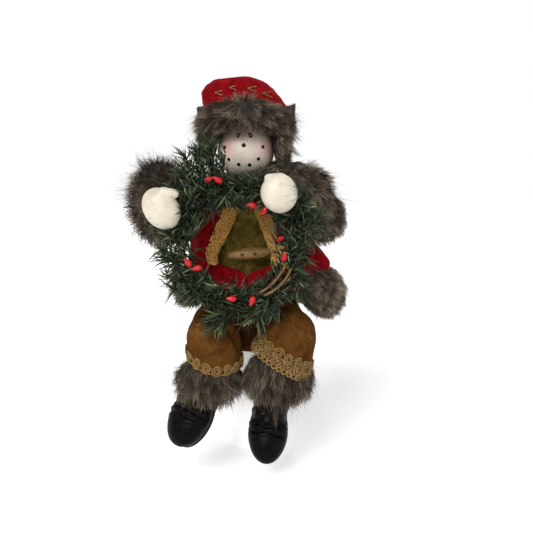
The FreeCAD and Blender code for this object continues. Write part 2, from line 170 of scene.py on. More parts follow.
def skin(name, rings, closed=True, caps=True):
    """Mesh through rings of points, with fans over both ends."""
    rings = np.asarray(rings, dtype=float)
    count, sides, _ = rings.shape
    points = list(rings.reshape(-1, 3))
    faces = [tuple(int(i) for i in quad) for quad in ring_faces(count, sides, closed)]
    if caps:
        for start, step in ((0, -1), ((count - 1) * sides, 1)):
            centre = len(points)
            points.append(np.mean(points[start:start + sides], axis=0))
            for i in range(sides):
                pair = (start + i, start + (i + 1) % sides)
                faces.append((pair if step > 0 else pair[::-1]) + (centre,))
    mesh = list_mesh(name, points, faces)
    if closed:
        face_out(mesh)
    return mesh


def face_out(mesh):
    """Turn every face of a closed mesh outwards."""
    shell = bmesh.new()
    shell.from_mesh(mesh)
    bmesh.ops.recalc_face_normals(shell, faces=shell.faces)
    shell.to_mesh(mesh)
    shell.free()
    mesh.update()


def frames_along(path):
    """Two turning side directions for each point of a path, without twist."""
    path = np.asarray(path, dtype=float)
    along = np.gradient(path, axis=0)
    along /= np.linalg.norm(along, axis=1)[:, None]
    start = np.array([0.0, 0.0, 1.0]) if abs(along[0][2]) < 0.9 else np.array([0.0, 1.0, 0.0])
    sides = []
    side = start
    for heading in along:
        side = side - heading * np.dot(side, heading)
        side /= np.linalg.norm(side)
        sides.append(side)
    sides = np.array(sides)
    return sides, np.cross(along, sides)


def tube_mesh(name, path, radius, sides):
    """Round tube along a path; radius is a number or one per point."""
    path = np.asarray(path, dtype=float)
    radius = np.broadcast_to(np.asarray(radius, dtype=float), (len(path),))
    first, second = frames_along(path)
    turn = circle(sides)
    rings = (path[:, None] + radius[:, None, None] * (np.cos(turn)[None, :, None] * first[:, None]
                                                      + np.sin(turn)[None, :, None] * second[:, None]))
    return skin(name, rings)


def smooth_path(points, steps):
    """Catmull-Rom curve through points."""
    points = [np.asarray(p, dtype=float) for p in points]
    padded = [2 * points[0] - points[1]] + points + [2 * points[-1] - points[-2]]
    curve = []
    for a, b, c, d in zip(padded, padded[1:], padded[2:], padded[3:]):
        for t in np.linspace(0, 1, steps, endpoint=False):
            curve.append(0.5 * (2 * b + (c - a) * t + (2 * a - 5 * b + 4 * c - d) * t ** 2
                                + (3 * b - a - 3 * c + d) * t ** 3))
    curve.append(points[-1])
    return np.array(curve)


def join_meshes(name, meshes):
    """One mesh from several."""
    points, faces, base = [], [], 0
    for mesh in meshes:
        points += [tuple(v.co) for v in mesh.vertices]
        faces += [tuple(base + i for i in face.vertices) for face in mesh.polygons]
        base = len(points)
        bpy.data.meshes.remove(mesh)
    return list_mesh(name, points, faces)


def egg(centre, radii, turn, segments, rows):
    """Ellipsoid mesh; turn is a rotation matrix or None."""
    rings = []
    for row in range(1, rows):
        polar = math.pi * row / rows
        around = circle(segments)
        rings.append(np.stack([radii[0] * math.sin(polar) * np.cos(around),
                               radii[1] * math.sin(polar) * np.sin(around),
                               np.full(segments, radii[2] * math.cos(polar))], -1))
    rings = np.array(rings)[::-1]
    if turn is not None:
        rings = rings @ np.array(turn.to_3x3()).T
    return skin("egg", rings + np.array(centre))


def melt(name, meshes, voxel, rounds=6):
    """Join closed meshes into one smooth skin."""
    source = bpy.data.objects.new(name + "_source", join_meshes(name + "_source", meshes))
    bpy.context.scene.collection.objects.link(source)
    remesh = source.modifiers.new("remesh", "REMESH")
    remesh.mode = "VOXEL"
    remesh.voxel_size = voxel
    remesh.use_smooth_shade = True
    smooth = source.modifiers.new("smooth", "SMOOTH")
    smooth.iterations = rounds
    smooth.factor = 0.5
    mesh = bpy.data.meshes.new_from_object(source.evaluated_get(bpy.context.evaluated_depsgraph_get()))
    mesh.name = name
    bpy.data.objects.remove(source)
    shade_smooth(mesh)
    return mesh


def vertex_array(mesh, what):
    """One vector per vertex as an array."""
    values = np.empty(len(mesh.vertices) * 3, dtype=np.float32)
    mesh.vertices.foreach_get(what, values)
    return values.reshape(-1, 3).astype(float)


def mesh_points(mesh):
    """Vertex places."""
    return vertex_array(mesh, "co")


def set_points(mesh, points):
    """Write vertex places back."""
    mesh.vertices.foreach_set("co", np.asarray(points, dtype=np.float32).ravel())
    mesh.update()


def mesh_normals(mesh):
    """Vertex normals."""
    return vertex_array(mesh, "normal")


def lumps(points, size, seed):
    """Smooth noise, about -1 to 1, with features of a size in metres."""
    shift = Vector((seed * 13.7, seed * 5.1, seed * 9.3))
    return np.array([noise.noise(Vector(p) / size + shift) for p in points])


def push(mesh, amount):
    """Move each vertex along its normal."""
    set_points(mesh, mesh_points(mesh) + mesh_normals(mesh) * np.asarray(amount)[:, None])


def knead(mesh, *layers):
    """Make a mesh uneven; each layer of lumps has a size, a seed and a height, lengths in millimetres."""
    points = mesh_points(mesh)
    push(mesh, sum(lumps(points, size * MM, seed) * height * MM for size, seed, height in layers))


def unit(vectors):
    """Vectors at length 1."""
    return vectors / np.maximum(np.linalg.norm(vectors, axis=-1, keepdims=True), 1e-9)


def run_of(path):
    """Distance along a path at each of its points."""
    return np.concatenate([[0], np.cumsum(np.linalg.norm(np.diff(path, axis=0), axis=1))])


# --- materials ----------------------------------------------------------------------------------
SOCKETS = {"specular": "Specular IOR Level", "sheen": "Sheen Weight", "sheen_roughness": "Sheen Roughness",
           "coat": "Coat Weight", "coat_roughness": "Coat Roughness"}


class Surface:
    """A Principled material with short ways to add pattern nodes."""

    def __init__(self, name, colour, roughness, **sockets):
        self.material = bpy.data.materials.new(name)
        self.material.use_nodes = True
        self.nodes = self.material.node_tree.nodes
        self.links = self.material.node_tree.links
        self.shader = self.nodes["Principled BSDF"]
        self.shader.inputs["Base Color"].default_value = (*colour, 1)
        self.shader.inputs["Roughness"].default_value = roughness
        for socket, value in sockets.items():
            self.shader.inputs[SOCKETS[socket]].default_value = value
        self.bump_out = None

    def node(self, kind, **values):
        made = self.nodes.new(kind)
        for key, value in values.items():
            if key in made.inputs:
                made.inputs[key].default_value = value
            else:
                setattr(made, key, value)
        return made

    def join(self, source, target):
        self.links.new(source, target)

    def place(self):
        return self.node("ShaderNodeTexCoord").outputs["Object"]

    def noise(self, scale, detail=4.0, roughness=0.55, stretch=None):
        made = self.node("ShaderNodeTexNoise", Scale=scale, Detail=detail, Roughness=roughness)
        self.join(self.stretched(stretch), made.inputs["Vector"])
        return made.outputs["Fac"]

    def stretched(self, stretch):
        if stretch is None:
            return self.place()
        mapping = self.node("ShaderNodeMapping", Scale=stretch)
        self.join(self.place(), mapping.inputs["Vector"])
        return mapping.outputs["Vector"]

    def cells(self, scale, feature="F1"):
        made = self.node("ShaderNodeTexVoronoi", Scale=scale, feature=feature)
        self.join(self.place(), made.inputs["Vector"])
        return made.outputs["Distance"]

    def ramp(self, source, *stops):
        made = self.node("ShaderNodeValToRGB")
        ramp = made.color_ramp
        while len(ramp.elements) < len(stops):
            ramp.elements.new(0.5)
        for element, (place, colour) in zip(ramp.elements, stops):
            element.position = place
            element.color = (*colour, 1)
        self.join(source, made.inputs["Fac"])
        return made.outputs["Color"]

    def mix(self, factor, first, second, blend="MIX"):
        made = self.node("ShaderNodeMix", data_type="RGBA", blend_type=blend)
        for value, socket in ((factor, made.inputs[0]), (first, made.inputs[6]), (second, made.inputs[7])):
            if hasattr(value, "is_linked"):
                self.join(value, socket)
            elif isinstance(value, (int, float)):
                socket.default_value = value
            else:
                socket.default_value = (*value, 1)
        return made.outputs[2]

    def colour(self, source):
        self.join(source, self.shader.inputs["Base Color"])

    def rough(self, source, low, high):
        made = self.node("ShaderNodeMapRange")
        made.inputs["To Min"].default_value = low
        made.inputs["To Max"].default_value = high
        self.join(source, made.inputs["Value"])
        self.join(made.outputs["Result"], self.shader.inputs["Roughness"])

    def bump(self, source, strength, distance):
        made = self.node("ShaderNodeBump", Strength=strength, Distance=distance)
        self.join(source, made.inputs["Height"])
        if self.bump_out is not None:
            self.join(self.bump_out, made.inputs["Normal"])
        self.bump_out = made.outputs["Normal"]
        self.join(self.bump_out, self.shader.inputs["Normal"])


def finish(name, base, roughness, grain, stops, bumps=(), **sockets):
    """Colour ramp over noise, with bumps one over another: strength, depth, pattern and its settings."""
    surface = Surface(name, base, roughness, **sockets)
    surface.colour(surface.ramp(surface.noise(*grain), *stops))
    for strength, depth, pattern, *settings in bumps:
        surface.bump(getattr(surface, pattern)(*settings), strength, depth)
    return surface


def strand_finish(name, root, middle, tip, tones, roughness=0.75, specular=0.12):
    """Hair or needles: colour runs along each strand, from a dark root, which is painted shade where the
    strands crowd at their base, to the tip, and its tone shifts from strand to strand.
    """
    surface = Surface(name, middle, roughness, specular=specular)
    uv = surface.node("ShaderNodeUVMap", uv_map=UV_NAME)
    split = surface.node("ShaderNodeSeparateXYZ")
    surface.join(uv.outputs["UV"], split.inputs[0])
    # The root colour is painted shade at the base of the strands.
    along = surface.ramp(split.outputs["Y"], (0.0, root), (0.45, middle), (1.0, tip))
    tone = surface.ramp(split.outputs["X"], *tones)
    surface.colour(surface.mix(1.0, along, tone, "MULTIPLY"))
    return surface


# Tone of a strand by its place on the map; the last part is for long dark guard hairs.
FUR_TONES = ((0.0, (0.28, 0.26, 0.25)), (0.40, (0.95, 0.92, 0.90)), (0.70, (1.75, 1.68, 1.60)),
             (0.90, (3.0, 2.85, 2.70)), (0.92, (0.55, 0.42, 0.33)), (1.0, (0.75, 0.50, 0.36)))
# Needle tones: the lower stops are the needles' own tones; the last two stops, which make a few needles very
# pale, are painted highlights, light glancing off the glossy needles.
NEEDLE_TINTS_AND_HIGHLIGHTS = ((0.0, (0.22, 0.22, 0.20)), (0.45, (0.80, 0.80, 0.74)), (0.75, (1.7, 1.65, 1.45)),
                (0.90, (2.6, 2.45, 2.2)), (0.92, (5.0, 4.3, 3.7)), (1.0, (6.0, 5.2, 4.6)))
GUARD_TONE = (0.93, 0.98)


def make_materials():
    """All finishes of the doll, by name."""
    made = {
        # The root colour given to each strand finish is painted shade where the strands crowd at their base.
        "fur": strand_finish("grey brown fur", (0.016, 0.012, 0.009), (0.085, 0.069, 0.053),
                             (0.22, 0.19, 0.15), FUR_TONES),
        "hem_fur": strand_finish("pale grey fur", (0.026, 0.021, 0.016), (0.125, 0.107, 0.083),
                                 (0.30, 0.265, 0.21), FUR_TONES),
        # The palest needles on this tone scale are painted highlights.
        "needles": strand_finish("needles", (0.008, 0.012, 0.006), (0.021, 0.036, 0.019),
                                 (0.062, 0.082, 0.050), NEEDLE_TINTS_AND_HIGHLIGHTS, 0.55, 0.25),
        "dry_needles": strand_finish("dry tips", (0.10, 0.06, 0.015), (0.20, 0.13, 0.045), (0.30, 0.21, 0.09),
                                     NEEDLE_TINTS_AND_HIGHLIGHTS[:3], 0.6),
        # The near-black backing under the fur is painted shade: it is only seen deep in the pile.
        "fur_base_shade": finish("dark fur base, painted shade", (0.02, 0.016, 0.013), 0.95, (420,),
                           ((0.3, (0.010, 0.008, 0.006)), (0.7, (0.05, 0.04, 0.033))),
                           ((1.0, 0.002, "noise", 900, 6),)),
        "velvet": finish("red velvet", (0.25, 0.006, 0.012), 0.9, (130, 6, 0.65),
                         ((0.30, (0.11, 0.002, 0.003)), (0.52, (0.20, 0.003, 0.007)),
                          (0.72, (0.30, 0.009, 0.014))),
                         ((0.5, 0.0006, "noise", 2600, 3), (0.35, 0.0012, "noise", 260, 4)),
                         sheen=0.2, sheen_roughness=0.35, specular=0.02),
        "suede": suede_finish(),
        # The felt's colours are lighter than the felt's own olive, to make up for the shade the vest sits in
        # behind the wreath: its own colour with painted light.
        "felt": finish("olive felt", (0.08, 0.06, 0.012), 0.95, (150, 9, 0.75),
                       ((0.34, (0.060, 0.042, 0.008)), (0.52, (0.165, 0.118, 0.024)),
                        (0.70, (0.36, 0.27, 0.080))),
                       ((0.8, 0.0006, "cells", 1500),), specular=0.03),
        "black_felt": finish("black felt", (0.006, 0.006, 0.006), 0.95, (700, 6),
                             ((0.3, (0.003, 0.003, 0.003)), (0.8, (0.018, 0.017, 0.016))),
                             ((0.6, 0.0005, "cells", 1400),), sheen=0.15),
        "gold": cord_finish("gold cord", (0.085, 0.043, 0.011), (0.235, 0.140, 0.046), (0.40, 0.27, 0.115)),
        # A lighter copy of the gold cord for the coat's braids: painted light, to make up for the shade they
        # sit in behind the wreath.
        "coat_braid_gold_painted_light": cord_finish("coat_braid_gold_painted_light cord", (0.16, 0.065, 0.012), (0.70, 0.37, 0.090),
                                 (0.95, 0.62, 0.21)),
        "wood": finish("waxed toggle wood", (0.3, 0.17, 0.07), 0.55, (160, 8, 0.6, (0.25, 1.6, 1.6)),
                       ((0.3, (0.10, 0.045, 0.013)), (0.5, (0.21, 0.118, 0.040)),
                        (0.75, (0.36, 0.23, 0.088))),
                       ((0.35, 0.0005, "noise", 600, 4, 0.6, (0.15, 1.5, 1.5)),), specular=0.25),
        "cream": paint_finish("mitten paint", None),
        "face": paint_finish("face paint", HEAD),
        "ink": finish("black enamel", (0.004, 0.004, 0.004), 0.4, (600,),
                      ((0.3, (0.002, 0.002, 0.002)), (0.8, (0.007, 0.006, 0.006))), specular=0.2),
        "white_dot": finish("pale eye dot", (0.62, 0.58, 0.52), 0.4, (900, 4),
                            ((0.3, (0.54, 0.50, 0.44)), (0.7, (0.68, 0.64, 0.58)))),
        "vinyl": finish("black vinyl", (0.004, 0.004, 0.005), 0.35, (180, 6),
                        ((0.3, (0.0010, 0.0010, 0.0014)), (0.75, (0.0032, 0.0029, 0.0038))),
                        ((0.25, 0.0003, "cells", 900), (0.4, 0.0012, "noise", 170, 3)), specular=0.07),
        "sole": finish("boot sole", (0.012, 0.012, 0.012), 0.7, (500, 5),
                       ((0.3, (0.006, 0.006, 0.006)), (0.8, (0.03, 0.028, 0.027))),
                       ((0.4, 0.0004, "noise", 900, 3),), specular=0.15),
        "berry": finish("berry lacquer", (0.50, 0.008, 0.014), 0.32, (420, 5),
                        ((0.3, (0.34, 0.003, 0.007)), (0.6, (0.55, 0.007, 0.014)),
                         (0.85, (0.66, 0.020, 0.024))),
                        specular=0.35, coat=0.1, coat_roughness=0.15),
        "bark": finish("vine bark", (0.09, 0.045, 0.018), 0.8, (380, 8, 0.65),
                       ((0.3, (0.060, 0.028, 0.009)), (0.55, (0.17, 0.088, 0.030)),
                        (0.8, (0.31, 0.18, 0.072))),
                       ((0.7, 0.0005, "noise", 1100, 5),)),
        "stem": finish("green wire stem", (0.02, 0.028, 0.012), 0.7, (400, 5),
                       ((0.3, (0.012, 0.018, 0.008)), (0.7, (0.035, 0.045, 0.018))), specular=0.2),
        "floor": Surface("pale floor", (0.9, 0.9, 0.9), 1.0, specular=0.0),
    }
    made["velvet"].shader.inputs["Sheen Tint"].default_value = (1.0, 0.05, 0.07, 1)
    made["vinyl"].rough(made["vinyl"].noise(240, 5), 0.26, 0.46)
    made["floor"].shader.inputs["Emission Color"].default_value = (1, 1, 1, 1)
    made["floor"].shader.inputs["Emission Strength"].default_value = 0.3
    return {name: surface.material for name, surface in made.items()}


def suede_finish():
    """Mottled suede cloth with upright streaks."""
    suede = Surface("brown suede cloth", (0.16, 0.07, 0.02), 0.95, specular=0.03)
    mottle = suede.ramp(suede.noise(95, 6, 0.6), (0.28, (0.052, 0.020, 0.004)), (0.55, (0.108, 0.044, 0.010)),
                        (0.78, (0.175, 0.078, 0.022)))
    streak = suede.ramp(suede.noise(420, 5, 0.6, (1.6, 1.6, 0.18)), (0.3, (0.72, 0.70, 0.68)),
                        (0.7, (1.12, 1.12, 1.1)))
    suede.colour(suede.mix(0.8, mottle, streak, "MULTIPLY"))
    suede.bump(suede.noise(3200, 2), 0.6, 0.0004)
    suede.bump(suede.noise(420, 4), 0.4, 0.0008)
    return suede


def cord_finish(name, dark, middle, light):
    """Twisted gimp cord in three shades."""
    cord = finish(name, middle, 0.65, (700, 5, 0.6), ((0.25, dark), (0.5, middle), (0.8, light)),
                  specular=0.15)
    twist = cord.node("ShaderNodeTexWave", Scale=520.0, Distortion=2.0, bands_direction="DIAGONAL")
    cord.join(cord.place(), twist.inputs["Vector"])
    cord.bump(twist.outputs["Fac"], 0.7, 0.0004)
    return cord


def paint_finish(name, head):
    """Cream paint with fine cracks and grey handling marks, and rosy cheeks where head is given."""
    surface = Surface(name, (0.75, 0.69, 0.58), 0.42, coat=0.12, coat_roughness=0.3)
    base = surface.ramp(surface.noise(75, 5, 0.6), (0.3, (0.56, 0.495, 0.39)), (0.6, (0.70, 0.64, 0.53)),
                        (0.85, (0.77, 0.715, 0.61)))
    marks = surface.ramp(surface.noise(260, 6, 0.7), (0.62, (1.0, 1.0, 1.0)), (0.78, (0.62, 0.58, 0.52)))
    painted = surface.mix(0.55, base, marks, "MULTIPLY")
    cracks = surface.ramp(surface.cells(330, "DISTANCE_TO_EDGE"), (0.0, (0.55, 0.52, 0.47)),
                          (0.035, (1, 1, 1)))
    painted = surface.mix(0.35, painted, cracks, "MULTIPLY")
    if head is not None:
        for side in (-1, 1):
            cheek = head + Vector((side * 13.4, -13.0, 2.9)) * MM
            apart = surface.node("ShaderNodeVectorMath", operation="DISTANCE")
            surface.join(surface.place(), apart.inputs[0])
            apart.inputs[1].default_value = cheek
            glow = surface.ramp(apart.outputs["Value"], (0.001, (0.75, 0.75, 0.75)), (0.009, (0.0, 0.0, 0.0)))
            painted = surface.mix(glow, painted, (0.72, 0.29, 0.29))
        painted = surface.mix(0.14, painted, (0.86, 0.60, 0.62))
    surface.colour(painted)
    surface.bump(surface.cells(330, "DISTANCE_TO_EDGE"), 0.12, 0.0002)
    surface.bump(surface.noise(140, 3), 0.12, 0.0008)
    return surface


MATS = make_materials()


# --- strands ------------------------------------------------------------------------------------
def scatter(mesh, count, keep):
    """Random points on a mesh with their smooth normals; keep, if given, says where."""
    mesh.calc_loop_triangles()
    corners = np.empty(len(mesh.loop_triangles) * 3, dtype=np.int32)
    mesh.loop_triangles.foreach_get("vertices", corners)
    corners = corners.reshape(-1, 3)
    points, normals = mesh_points(mesh), mesh_normals(mesh)
    a, b, c = (points[corners[:, i]] for i in range(3))
    area = np.linalg.norm(np.cross(b - a, c - a), axis=1)
    if keep is not None:
        area = area * keep((a + b + c) / 3)
    chosen = RNG.choice(len(corners), count, p=area / area.sum())
    weights = RNG.dirichlet((1, 1, 1), count)
    picked = corners[chosen]
    spots = sum(weights[:, i, None] * points[picked[:, i]] for i in range(3))
    facing = unit(sum(weights[:, i, None] * normals[picked[:, i]] for i in range(3)))
    return spots, facing


def ribbon_mesh(name, stations, width, tone):
    """Hair as tapered flat strips through four stations each."""
    count = len(stations[0])
    side = unit(np.cross(stations[1] - stations[0], RNG.normal(size=(count, 3))))
    rings = []
    for centre, share in zip(stations[:-1], (1.0, 0.85, 0.5)):
        half = side * (0.5 * share * width)[:, None]
        rings += [centre - half, centre + half]
    rings.append(stations[-1])
    strip = np.array([(0, 1, 3), (0, 3, 2), (2, 3, 5), (2, 5, 4), (4, 5, 6)])
    return strand_mesh(name, np.stack(rings, 1), strip, [0.01, 0.01, 0.34, 0.34, 0.67, 0.67, 0.99], 2, tone)


def blade_mesh(name, stations, width, flat):
    """Needles as tapered three-sided blades through three stations each."""
    count = len(stations[0])
    heading = unit(stations[1] - stations[0])
    side = unit(np.cross(heading, RNG.normal(size=(count, 3))))
    over = np.cross(heading, side)
    rings = []
    for centre, share in zip(stations[:-1], (0.8, 1.0)):
        for angle in np.arange(3) * 2 * math.pi / 3:
            rings.append(centre + (0.5 * share * width * math.cos(angle))[:, None] * side
                         + (0.5 * share * width * flat * math.sin(angle))[:, None] * over)
    rings.append(stations[-1])
    faces = []
    for i in range(3):
        j = (i + 1) % 3
        faces += [(i, j, 3 + j), (i, 3 + j, 3 + i), (3 + i, 3 + j, 6)]
    return strand_mesh(name, np.stack(rings, 1), np.array(faces), [0.01] * 3 + [0.5] * 3 + [0.99], 3,
                       RNG.uniform(0.0, 0.98, count))


def strand_mesh(name, points, faces, along, sides, tone):
    """Many alike strands as one mesh.  Its map gives each strand a tone (u) and runs up it (v)."""
    count, per, _ = points.shape
    all_faces = (np.arange(count)[:, None, None] * per + faces[None]).reshape(-1, 3)
    uv = np.empty((count, per, 2))
    uv[:, :, 0] = tone[:, None] + 0.008 * (np.arange(per) % sides)
    uv[:, :, 1] = along
    return fast_mesh(name, points, all_faces, uv.reshape(-1, 2))


HAIR_WIDTH = 0.36 * MM
HAIRS_PER_LEADER = 28


def fur(name, base, body, node, density, length, comb, lean, droop=0.25, keep=None, wild=0.07, tint="fur",
        replaces=()):
    """Fur on a base mesh: dark backing, whose darkness is painted shade deep in the pile, clumped pile and
    some long guard hairs; density is hairs per cm2.
    """
    # The dark backing is painted shade under the pile.
    add_object(name + "_backing", base, body, "fur_base_shade")
    area = sum(face.area for face in base.polygons)
    count = int(area * 1e4 * density)
    roots, normals = scatter(base, count, keep)
    flow = unit(np.asarray(comb(roots)) + 1e-6)
    wave = np.stack([lumps(roots, 8 * MM, seed) for seed in (1, 2, 3)], -1)
    heading = unit(normals * (1 - lean) + flow * lean + 0.45 * wave + RNG.normal(scale=0.2, size=(count, 3)))
    reach = length * RNG.uniform(0.55, 1.1, count)
    long_hair = RNG.random(count) < wild
    reach = np.where(long_hair, reach * RNG.uniform(1.3, 2.2, count), reach)
    stations = [roots - normals * 0.5 * MM]
    for step in range(3):
        stations.append(stations[-1] + heading * (reach / 3)[:, None])
        heading = unit(heading * 0.7 + flow * 0.25 + np.array([0, 0, -droop]) + 0.25 * wave
                       + RNG.normal(scale=0.24, size=(count, 3)))
    leaders = RNG.choice(count, max(count // HAIRS_PER_LEADER, 1), replace=False)
    tree = KDTree(len(leaders))
    for index, leader in enumerate(leaders):
        tree.insert(roots[leader], index)
    tree.balance()
    nearest = leaders[np.array([tree.find(root)[1] for root in roots])]
    pull = RNG.uniform(0.25, 0.85, count)[:, None] * ~long_hair[:, None]
    for step, share in ((2, 0.5), (3, 1.0)):
        stations[step] = stations[step] + (stations[step][nearest] - stations[step]) * pull * share
    wide = HAIR_WIDTH * RNG.uniform(0.6, 1.2, count) * np.where(long_hair, 0.6, 1.0)
    patch = 0.43 + 0.62 * lumps(roots, 4.5 * MM, 40) + 0.45 * lumps(roots, 13 * MM, 41)
    tone = np.clip(patch + RNG.normal(scale=0.15, size=count), 0.0, 0.895)
    tone = np.where(long_hair, RNG.uniform(*GUARD_TONE, count), tone)
    hair = add_object(name, ribbon_mesh(name, stations, wide, tone), body, tint)
    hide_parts(node, *replaces)


# --- camera, light and floor --------------------------------------------------------------------
TARGET = Vector((15, -33, 68)) * MM
VIEW_DROP = math.radians(9)
VIEW_DISTANCE = 470 * MM
FLOOR_Z, FLOOR_HALF = -80 * MM, 3.0
# The white post under the seat: its middle and half widths, and how much of them each level has.
POST_Y, POST_HALF_X, POST_HALF_Y = 9 * MM, 15 * MM, 12 * MM
POST_LEVELS = [(FLOOR_Z, 0.97), (-1.2 * MM, 0.97), (-0.35 * MM, 0.955), (-0.1 * MM, 0.93)]


def add_sun(name, towards, strength, softness, colour):
    """Soft lamp far away; towards points from the figure to the lamp."""
    light = bpy.data.lights.new(name, "SUN")
    light.energy = strength
    light.angle = math.radians(softness)
    light.color = colour
    lamp = bpy.data.objects.new(name, light)
    lamp.location = TARGET + Vector(towards)
    lamp.rotation_euler = (-Vector(towards)).to_track_quat("-Z", "Y").to_euler()
    bpy.context.scene.collection.objects.link(lamp)


def make_surroundings():
    """White surroundings that light the figure less brightly than they look."""
    world = bpy.data.worlds.new("studio")
    world.use_nodes = True
    tree = world.node_tree
    lit = tree.nodes["Background"]
    lit.inputs["Color"].default_value = (1, 1, 1, 1)
    lit.inputs["Strength"].default_value = 0.33
    seen = tree.nodes.new("ShaderNodeBackground")
    seen.inputs["Strength"].default_value = 1.0
    seen.inputs["Color"].default_value = (1, 1, 1, 1)
    path = tree.nodes.new("ShaderNodeLightPath")
    mix = tree.nodes.new("ShaderNodeMixShader")
    tree.links.new(path.outputs["Is Camera Ray"], mix.inputs[0])
    tree.links.new(lit.outputs[0], mix.inputs[1])
    tree.links.new(seen.outputs[0], mix.inputs[2])
    tree.links.new(mix.outputs[0], tree.nodes["World Output"].inputs["Surface"])
    bpy.context.scene.world = world


def make_studio():
    """Camera, lamps, white surroundings, the floor and the narrow post that carries the seat."""
    data = bpy.data.cameras.new("camera")
    data.sensor_width, data.lens = 36, 45.35
    data.clip_start = 0.01
    camera = bpy.data.objects.new("camera", data)
    camera.location = TARGET + VIEW_DISTANCE * Vector((0, -math.cos(VIEW_DROP), math.sin(VIEW_DROP)))
    camera.rotation_euler = (math.pi / 2 - VIEW_DROP, 0, 0)
    bpy.context.scene.collection.objects.link(camera)
    bpy.context.scene.camera = camera
    bpy.context.scene.view_settings.view_transform = "Standard"
    make_surroundings()
    add_sun("key", (-0.45, -0.9, 0.75), 2.6, 35, (1.0, 0.98, 0.95))
    add_sun("fill", (0.8, -0.6, 0.3), 0.7, 60, (0.96, 0.98, 1.0))
    add_sun("back", (0.2, 0.8, 0.7), 0.8, 40, (1.0, 1.0, 1.0))

    low, high = -FLOOR_HALF, FLOOR_HALF
    corners = [(x, y, FLOOR_Z) for x, y in ((low, low), (high, low), (high, high), (low, high))]
    floor = bpy.data.meshes.new("floor")
    floor.from_pydata(corners, [], [(0, 1, 2, 3)])
    add_stage("floor", floor)
    middle = node_centre("trouser_seat").x
    post = [[(middle + POST_HALF_X * grow * math.cos(turn), POST_Y + POST_HALF_Y * grow * math.sin(turn), z)
             for turn in circle(48)] for z, grow in POST_LEVELS]
    add_stage("seat_block", skin("seat_block", post))


def add_stage(name, mesh):
    """Part of the set, not of the figure."""
    mesh.materials.append(MATS["floor"])
    piece = bpy.data.objects.new(name, mesh)
    bpy.context.scene.collection.objects.link(piece)


make_studio()


# --- head and cap -------------------------------------------------------------------------------
def on_head(x, z, lift):
    """Point on the front of the ball head, x across and z up from its centre, with its outward direction."""
    depth = math.sqrt(max(HEAD_R ** 2 - x * x - z * z, 0))
    out = Vector((x, -depth, z)).normalized()
    return HEAD + out * (HEAD_R + lift), out


def painted_dot(x, z, across, up, lift=0.1 * MM):
    """Slightly domed dot of paint on the ball."""
    place, out = on_head(x, z, lift)
    turn = out.to_track_quat("Z", "Y").to_matrix().to_4x4()
    return egg(place, (across, up, 0.6 * MM), turn, 28, 10)


def make_face():
    """Two oval eyes with pale middles, a button nose and six dots for the mouth."""
    repaint("head_ball", "face")
    eyes = [(-4.8 * MM, 11.2 * MM), (3.7 * MM, 11.3 * MM)]
    mouth = [(-14.4, 2.9), (-11.6, -5.4), (-4.6, -8.9), (3.0, -9.2), (9.3, -5.1), (12.4, 3.2)]
    dots = [painted_dot(x, z, 1.4 * MM, 2.3 * MM) for x, z in eyes]
    dots.append(painted_dot(-0.9 * MM, 4.3 * MM, 1.5 * MM, 1.5 * MM))
    dots += [painted_dot(x * MM, z * MM, 1.3 * MM, 1.3 * MM) for x, z in mouth]
    add_joined("face_dots", dots, "head", "ink")
    glints = [painted_dot(x - 0.15 * MM, z - 0.4 * MM, 0.42 * MM, 1.0 * MM, 0.28 * MM) for x, z in eyes]
    add_joined("eye_glints", glints, "head", "white_dot")


def cap_point(angle, share):
    """Velvet crown: angle about the head, share from its foot (0) to its top (1)."""
    shares = [0.0, 0.2, 0.42, 0.6, 0.72, 0.82, 0.9, 1.0]
    radii = [24.0, 26.0, 29.0, 29.4, 27.0, 22.0, 14.0, 0.2]
    heights = [164.0, 172.5, 182.0, 189.0, 194.0, 197.4, 198.8, 199.4]
    radius = np.interp(share, shares, radii)
    height = np.interp(share, shares, heights)
    across, deep = radius * math.cos(angle), radius * math.sin(angle)
    if across > 0:
        across *= np.interp(height, [166, 173, 180, 190, 198], [1.16, 1.22, 1.10, 0.86, 0.74])
    else:
        across *= np.interp(height, [166, 178, 190, 199], [1.10, 1.05, 1.06, 1.0])
    height -= 0.11 * max(across - 4, 0) * max(height - 174, 0) / 12
    return np.array([across - 0.6, deep - 1.0, height]) * MM


def make_cap():
    """Velvet crown with chain stitches, a fur brim, ear flaps and a black felt flap behind."""
    rings = []
    for share in np.linspace(0, 1, 44)[:-1]:
        ring = [cap_point(angle, share) for angle in circle(96)]
        rings.append(ring)
    crown = skin("cap_crown_cloth", rings, caps=True)
    knead(crown, (17, 4, 0.9), (6, 5, 0.25))
    piece = add_object("cap_crown_cloth", crown, "head", "velvet")
    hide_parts("cap_crown", "cap_stuffing", "cap_lining")
    make_cap_stitches(crown)
    make_back_flap()

    brim = roll("brim", 72, (28.2, 28.2), (3.6, 3.6, 8.0), 20, brim_level)
    fur("cap_brim_pile", brim, "head", "cap_brim_fur", 210, 8.5 * MM, comb_brim, lean=0.66, droop=0.1,
        keep=lambda p: np.hypot(p[:, 0], p[:, 1] + 1 * MM) > 26.0 * MM)
    for side, sign, height in (("right", -1, 160.5), ("left", 1, 156.0)):
        flap = egg(Vector((sign * 25.2, -7.5, height - 1.5)) * MM, (5.8 * MM, 11 * MM, 16 * MM), None, 28, 20)
        fur("ear_flap_pile_" + side, flap, "head", "ear_flap_" + side, 190, 8 * MM, comb_aside(0.75, 1.0),
            lean=0.66, keep=lambda p, s=sign: s * p[:, 0] > 21.5 * MM)


def brim_level(angle):
    """Height of the brim's middle: higher at the front, lower at the ears and the nape."""
    front = 0.5 - 0.5 * math.sin(angle)
    nape = max(0.0, math.sin(angle)) ** 2
    return 169.5 + 5.0 * front - 5.5 * abs(math.cos(angle)) ** 1.6 - 3.5 * nape


